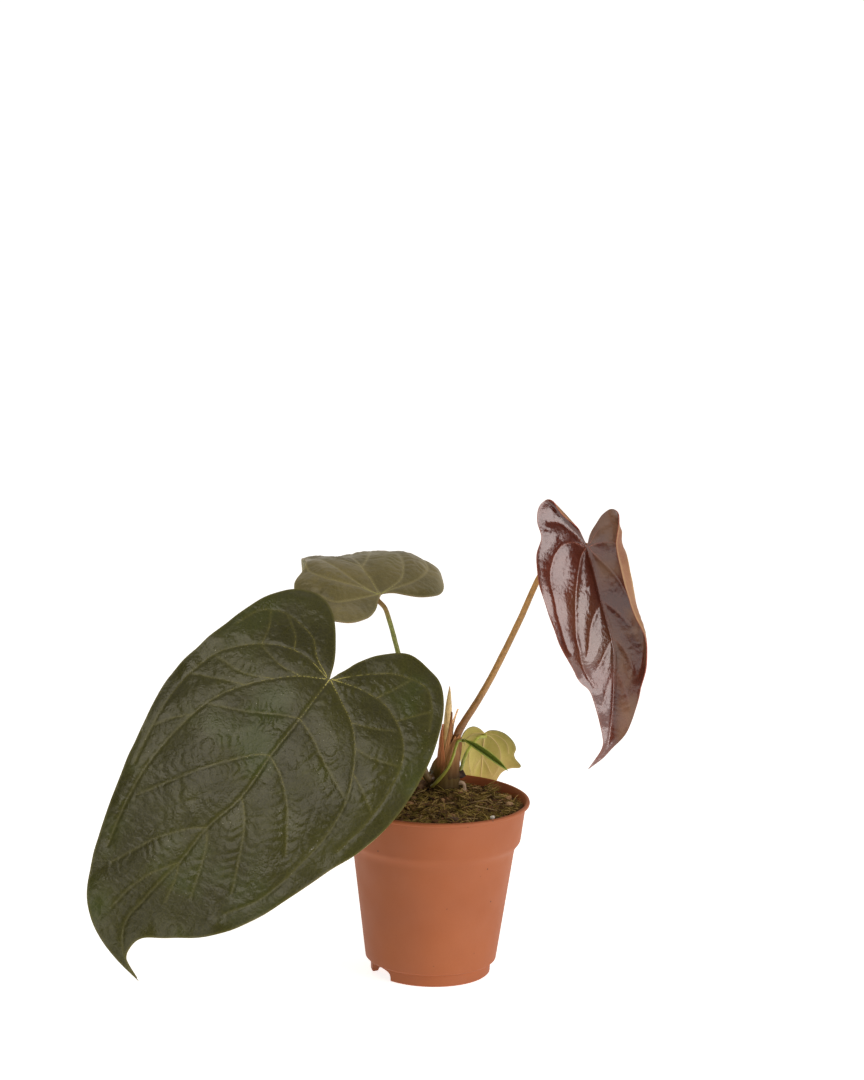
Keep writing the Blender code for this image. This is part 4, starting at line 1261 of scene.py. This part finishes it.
def addFibres():
    chance = random.Random(5)
    placed = []
    while len(placed) < mediumSet["fibres"]:
        x, y = chance.uniform(-56, 56), chance.uniform(-56, 56)  # a square round the whole pot
        if math.hypot(x, y) > mediumSet["fibreReach"] or fromCrown(x, y) < mediumSet["clear"]:
            continue
        clump = noise.noise(Vector((x / 11, y / 11, 4.0)))
        if chance.random() > 0.55 + clump:
            continue
        length = chance.uniform(3, 8.5)
        compass = noise.noise(Vector((x / 14, y / 14, 9.0))) * 6 + chance.gauss(0, 0.9)
        if math.hypot(x + length * math.cos(compass), y + length * math.sin(compass)) > mediumSet["edge"]:
            compass += math.pi
        rise, bend = chance.gauss(0.16, 0.22), chance.uniform(0.0, 0.45)
        # painted shade: fibres lower in the hollows of the moss get a darker tone; the rest of their tone
        # changes with the clumps and at random
        shade = min(1, max(0, 0.42 + 0.5 * clump + 0.13 * lumpAt(x, y) + chance.gauss(0, 0.24)))
        placed.append((strandChange(x, y, groundAt(x, y) + 0.2, length, chance.uniform(0.35, 1.0), compass,
                                    rise, bend, chance.gauss(0, 1.2)), shade))
    fibres = scattered("mossFibres", strandShape(3, 5), placed)
    dress(fibres, [shadeFinish("mossStrand", [(0.0, (0.045, 0.02, 0.008)), (0.3, (0.12, 0.065, 0.02)),
                                              (0.5, (0.2, 0.15, 0.03)), (0.75, (0.33, 0.25, 0.06)),
                                              (1.0, (0.55, 0.38, 0.14))])], "moss")


def addStraws():
    chance = random.Random(8)
    placed = []
    while len(placed) < mediumSet["straws"]:
        x, y = chance.uniform(-52, 52), chance.uniform(-52, 52)
        length, compass = chance.uniform(6, 17), chance.uniform(0, 2 * math.pi)
        endX, endY = x + length * math.cos(compass), y + length * math.sin(compass)
        if max(math.hypot(x, y), math.hypot(endX, endY)) > mediumSet["strawReach"]:
            continue
        if fromCrown(x, y) < mediumSet["strawClear"]:
            continue
        low, high = groundAt(x, y) + 1.2, groundAt(endX, endY) + 1.2  # on top of the fibres
        placed.append((strandChange(x, y, low, length, chance.uniform(0.5, 1.0), compass,
                                    (high - low) / length, chance.uniform(0, 0.12), chance.gauss(0, 1.5)),
                       chance.random()))
    straws = scattered("strawBits", strandShape(5, 6), placed)
    dress(straws, [shadeFinish("dryStraw", [(0.0, (0.2, 0.1, 0.05)), (0.5, (0.4, 0.26, 0.12)),
                                            (1.0, (0.55, 0.4, 0.2))], 0.6)], "moss")


def crumbShape(seed):
    deselectAll()
    bpy.ops.mesh.primitive_ico_sphere_add(subdivisions=1, radius=1)
    stone = bpy.context.active_object
    chance = random.Random(seed)
    base = np.array([vertex.co * chance.uniform(0.7, 1.15) for vertex in stone.data.vertices])
    faces = [tuple(face.vertices) for face in stone.data.polygons]
    bpy.data.objects.remove(stone)
    return base, faces


def crumbChange(x, y, z, size, chance):
    sizes = np.array([size * chance.uniform(0.7, 1.5), size * chance.uniform(0.6, 1.1),
                      size * chance.uniform(0.4, 0.9)])
    turn = Matrix.Rotation(chance.uniform(0, 6.3), 3, "Z") @ Matrix.Rotation(chance.gauss(0, 0.5), 3, "X")
    turned = np.array(turn)
    return lambda base: (base * sizes) @ turned.T + (x, y, z)


def addCrumbs():
    chance = random.Random(12)
    placed = []
    while len(placed) < mediumSet["crumbs"]:
        reach = mediumSet["crumbReach"] * math.sqrt(chance.random())
        turn = chance.uniform(0, 2 * math.pi)
        x, y = reach * math.cos(turn), reach * math.sin(turn)
        if fromCrown(x, y) < mediumSet["clear"]:
            continue
        size = chance.uniform(0.5, 1.5) if chance.random() < 0.93 else chance.uniform(1.6, 2.6)
        if reach + size * 1.5 > mediumSet["edge"]:
            continue
        placed.append((crumbChange(x, y, groundAt(x, y) + size * 0.2, size, chance), chance.random()))
    crumbs = scattered("peatCrumbs", crumbShape(3), placed)
    shades = [(0.0, (0.02, 0.01, 0.005)), (0.45, (0.1, 0.045, 0.022)), (0.8, (0.22, 0.11, 0.05)),
              (1.0, (0.42, 0.25, 0.13))]
    dress(crumbs, [shadeFinish("peatCrumb", shades, 0.95)], "moss")


grains = {  # slot, darker and paler shade, size and depth of the grain
    "perlite_grain": ("perlite", "perliteWhite", (0.62, 0.6, 0.54), (0.82, 0.8, 0.76), 700, 0.9, 0.3),
    "bark_chip_right": ("bark", "barkTan", (0.22, 0.12, 0.06), (0.5, 0.33, 0.18), 500, 0.85, 0.4),
    "bark_chip_front": ("bark", "barkDark", (0.04, 0.02, 0.012), (0.13, 0.07, 0.035), 400, 0.85, 0.4),
    "bark_chip_left": ("bark", "barkBrown", (0.08, 0.04, 0.02), (0.24, 0.13, 0.07), 400, 0.85, 0.4),
}


def addGrains():
    for number, (node, (slotName, *skin)) in enumerate(grains.items()):
        low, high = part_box(node)
        centre, half = (low + high) / 2, (high - low) / 2
        deselectAll()
        bpy.ops.mesh.primitive_ico_sphere_add(subdivisions=5, radius=1)
        piece = bpy.context.active_object
        piece.name = node + "Rough"
        for vertex in piece.data.vertices:
            rough = 1 + 0.16 * noise.noise(vertex.co * 1.8 + Vector((number * 9, 0, 0)))
            rough += 0.07 * noise.noise(vertex.co * 6 + Vector((number * 5, 3, 0)))
            vertex.co = centre + Vector(a * b for a, b in zip(vertex.co * rough, half))
        smoothShade(piece, 60)
        dress(piece, [plainFinish(*skin)], slotName, node)


addGround()
addFibres()
addStraws()
addCrumbs()
addGrains()
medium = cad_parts["growing_medium"]
medium.data.materials.clear()
medium.data.materials.append(
    plainFinish("peat", (0.02, 0.012, 0.007), (0.08, 0.045, 0.025), 300, 0.95, 0.6))
print("medium ready")

# crown: stem, sheaths, shoot and roots

crownSet = {
    "stem": {"low": 106.0, "top": 127.0, "radius": 10.0, "rings": 5},
    "shoot": [(4.5, 12.5, 127.3), (4.5, 12.5, 129.8), (6, 13.5, 142), (7, 14, 160), (7.6, 14, 181.5)],
    "shootRadius": 2.6,
    "shootShades": [(0.0, (0.3, 0.15, 0.06)), (0.35, (0.5, 0.28, 0.09)), (0.6, (0.62, 0.42, 0.16)),
                    (0.95, (0.68, 0.5, 0.22)), (1.0, (0.5, 0.26, 0.12))],
    "bractThickness": 0.5,
}
# the dry bracts' shades from their foot to their tip
bractShades = {
    "olive": [(0.0, (0.05, 0.032, 0.008)), (0.45, (0.12, 0.075, 0.016)), (0.75, (0.3, 0.15, 0.045)),
              (1.0, (0.48, 0.24, 0.1))],
    "tan": [(0.0, (0.05, 0.03, 0.008)), (0.35, (0.2, 0.1, 0.035)), (1.0, (0.62, 0.33, 0.15))],
    "red": [(0.0, (0.16, 0.07, 0.02)), (0.4, (0.52, 0.21, 0.09)), (1.0, (0.66, 0.25, 0.12))],
    "salmon": [(0.0, (0.45, 0.2, 0.08)), (0.4, (0.8, 0.48, 0.22)), (1.0, (0.88, 0.6, 0.33))],
    "brown": [(0.0, (0.3, 0.15, 0.06)), (0.5, (0.4, 0.2, 0.08)), (1.0, (0.25, 0.1, 0.04))],
}
# axis, radius, first and last angle, how far the tip spreads, shades, replaced nodes
bracts = {
    "leftSheath": ([(4.2, 12.8, 126), (5, 13.5, 140), (6.6, 13.8, 157)], 4.0, (110, 300), 0, "red",
                   ["left_sheath"]),
    "frontSheath": ([(9.5, 18, 127), (11, 18, 138), (13.5, 17.4, 150)], 5.4, (-190, 40), 0.0, "tan",
                    ["front_sheath"]),
    "rearSheath": ([(9.5, 17.5, 127.3), (11.5, 16.5, 148), (17.5, 16, 166)], 5.4, (75, 250), 0.5, "salmon",
                   ["rear_sheath"]),
    "shootSheath": ([(4.5, 12.5, 127), (6, 13.5, 143), (7, 14, 165)], 3.4, (-120, 60), 0, "brown", []),
    "oliveBract": ([(5, 17.6, 115), (5.5, 17, 126), (7.5, 16.5, 141)], 10.6, (-230, 10), -2.4, "olive", []),
    "rearBract": ([(5.5, 18, 116), (6.5, 18, 128), (9.5, 18, 143)], 10.2, (-40, 190), -2.6, "olive", []),
    "tanBract": ([(6.5, 16.8, 122), (8.2, 16.6, 134), (10.5, 16.8, 149)], 8.4, (-170, 30), -2.2, "tan", []),
    "lowBract": ([(4.5, 18, 112), (4.8, 17.8, 120), (5.5, 17.4, 131)], 11.2, (-150, 70), -2.0, "olive", []),
}
# node, route, radius, slot and skin
thickBits = {
    "leftRoot": ("left_root", [(-4.4, 16, 117.5), (-6.8, 15.5, 117.5), (-8.5, 15, 117), (-9.5, 14.5, 110.5)],
                 1.9, "root", ("rootSkin", (0.12, 0.06, 0.035), (0.3, 0.18, 0.11), 400, 0.8, 0.3)),
    "rightRoot": ("right_root", [(14.4, 16, 118), (16.9, 15.5, 118), (18.2, 15.2, 117), (18.8, 15, 110.5)],
                  1.3, "root", ("paleRootSkin", (0.3, 0.2, 0.13), (0.52, 0.4, 0.28), 400, 0.8, 0.3)),
    "cutStub": ("stalk_stub", [(13.9, 19.2, 122.5), (16.3, 19.6, 122.5), (18.5, 20, 123.5)],
                2.3, "cut_stub", ("stubSkin", (0.02, 0.01, 0.008), (0.09, 0.05, 0.03), 500, 0.85, 0.5)),
}


def stemFinish():
    made = Nodes("stemSkin", 0.65)
    place = made.place()
    bands = made.noise(place, 60, 4, 0.6, (1, 1, 4))
    color = made.ramp(bands, (0.3, (0.03, 0.022, 0.01)), (0.5, (0.09, 0.075, 0.025)),
                      (0.7, (0.16, 0.15, 0.04)))
    grain = made.noise(place, 700, 4)
    return made.finish(color, 0.65, made.bump(grain, 0.35))


def addStem():
    values = crownSet["stem"]
    heights = np.linspace(values["low"], values["top"], 60)
    route = np.array([(*mediumSet["crown"], height) for height in heights])
    share = np.linspace(0, 1, len(route))
    ringed = 0.05 * np.abs(np.sin(share * math.pi * values["rings"]))
    radii = values["radius"] * (0.95 - 0.12 * share + ringed)
    radii[-3:] *= (0.97, 0.9, 0.75)
    stem = tubePiece("stemBody", route, radii, 14)
    roughen(stem, 0.9, 3.5, 4)
    dress(stem, [stemFinish()], "stem", "stem")


def sheathPiece(name, axis, radius, startAngle, stopAngle, thickness, flare, seed):
    # a curled dry bract that narrows to a point, with fine ribs along it
    line = smoothLine(axis, 10)
    columns = 22
    points = []
    for step, place in enumerate(line):
        share = step / (len(line) - 1)
        width = (1 - share**1.7) * 0.97 + 0.03
        middle = (startAngle + stopAngle) / 2
        spread = (stopAngle - startAngle) / 2 * width
        reach = radius * (1 - 0.3 * share) + flare * share**2
        for column in range(columns + 1):
            across = 2 * column / columns - 1
            turn = math.radians(middle + spread * across)
            rib = 0.12 * math.sin(column * 1.9)
            rib += 0.35 * noise.noise(Vector((column / 4, share * 5, seed)))
            shell = reach + rib + 0.5 * across * across * share
            points.append(place + np.array([shell * math.cos(turn), shell * math.sin(turn), 0]))
    faces = []
    row = columns + 1
    for step in range(len(line) - 1):
        for column in range(columns):
            a, b = step * row + column, (step + 1) * row + column
            faces.append((a, a + 1, b + 1, b))
    piece = meshPiece(name, points, faces)
    skin = piece.modifiers.new("thickness", "SOLIDIFY")
    skin.thickness = thickness * mm
    skin.offset = 0
    applyAll(piece)
    faceOutwards(piece)
    spots = np.array([vertex.co for vertex in piece.data.vertices]) / mm
    low, high = spots[:, 2].min(), spots[:, 2].max()
    setAttribute(piece, "along", (spots[:, 2] - low) / (high - low))
    smoothShade(piece, 50)
    return piece


def sheathFinish(name, stops):
    made = Nodes(name, 0.7)
    color = made.ramp(made.attribute("along"), *stops)
    place = made.place()
    streak = made.noise(place, 500, 4, 0.6, (1, 1, 0.12))
    color = made.mix(made.span(streak, 0.4, 0.65, 0.0, 0.45), color, (0.6, 0.4, 0.25), "MULTIPLY")
    return made.finish(color, made.span(streak, 0.3, 0.7, 0.6, 0.8), made.bump(streak, 0.1),
                       Specular_IOR_Level=0.15)


def arcShare(route):
    run = np.concatenate([[0], np.cumsum(np.linalg.norm(np.diff(route, axis=0), axis=1))])
    return run / run[-1]


def addCrown():
    addStem()
    route = smoothLine(crownSet["shoot"], 10)
    shoot = tubePiece("shootSpike", route, crownSet["shootRadius"] * (1 - arcShare(route) ** 4.5) + 0.15, 8)
    roughen(shoot, 0.15, 5, 2)
    dress(shoot, [stalkFinish("shootSkin", crownSet["shootShades"], 0.45)], "shoot", "new_shoot")
    for name, (axis, radius, angles, flare, shades, nodes) in bracts.items():
        sheath = sheathPiece(name, axis, radius, *angles, crownSet["bractThickness"], flare, len(name))
        dress(sheath, [sheathFinish(name + "Skin", bractShades[shades])], "dry_sheath", *nodes)
    for name, (node, points, radius, slotName, skin) in thickBits.items():
        route = smoothLine(points, 8)
        piece = tubePiece(name, route, np.full(len(route), radius), 8)
        roughen(piece, 0.4, 2.5, radius)
        dress(piece, [plainFinish(*skin)], slotName, node)
    print("crown ready")


addCrown()
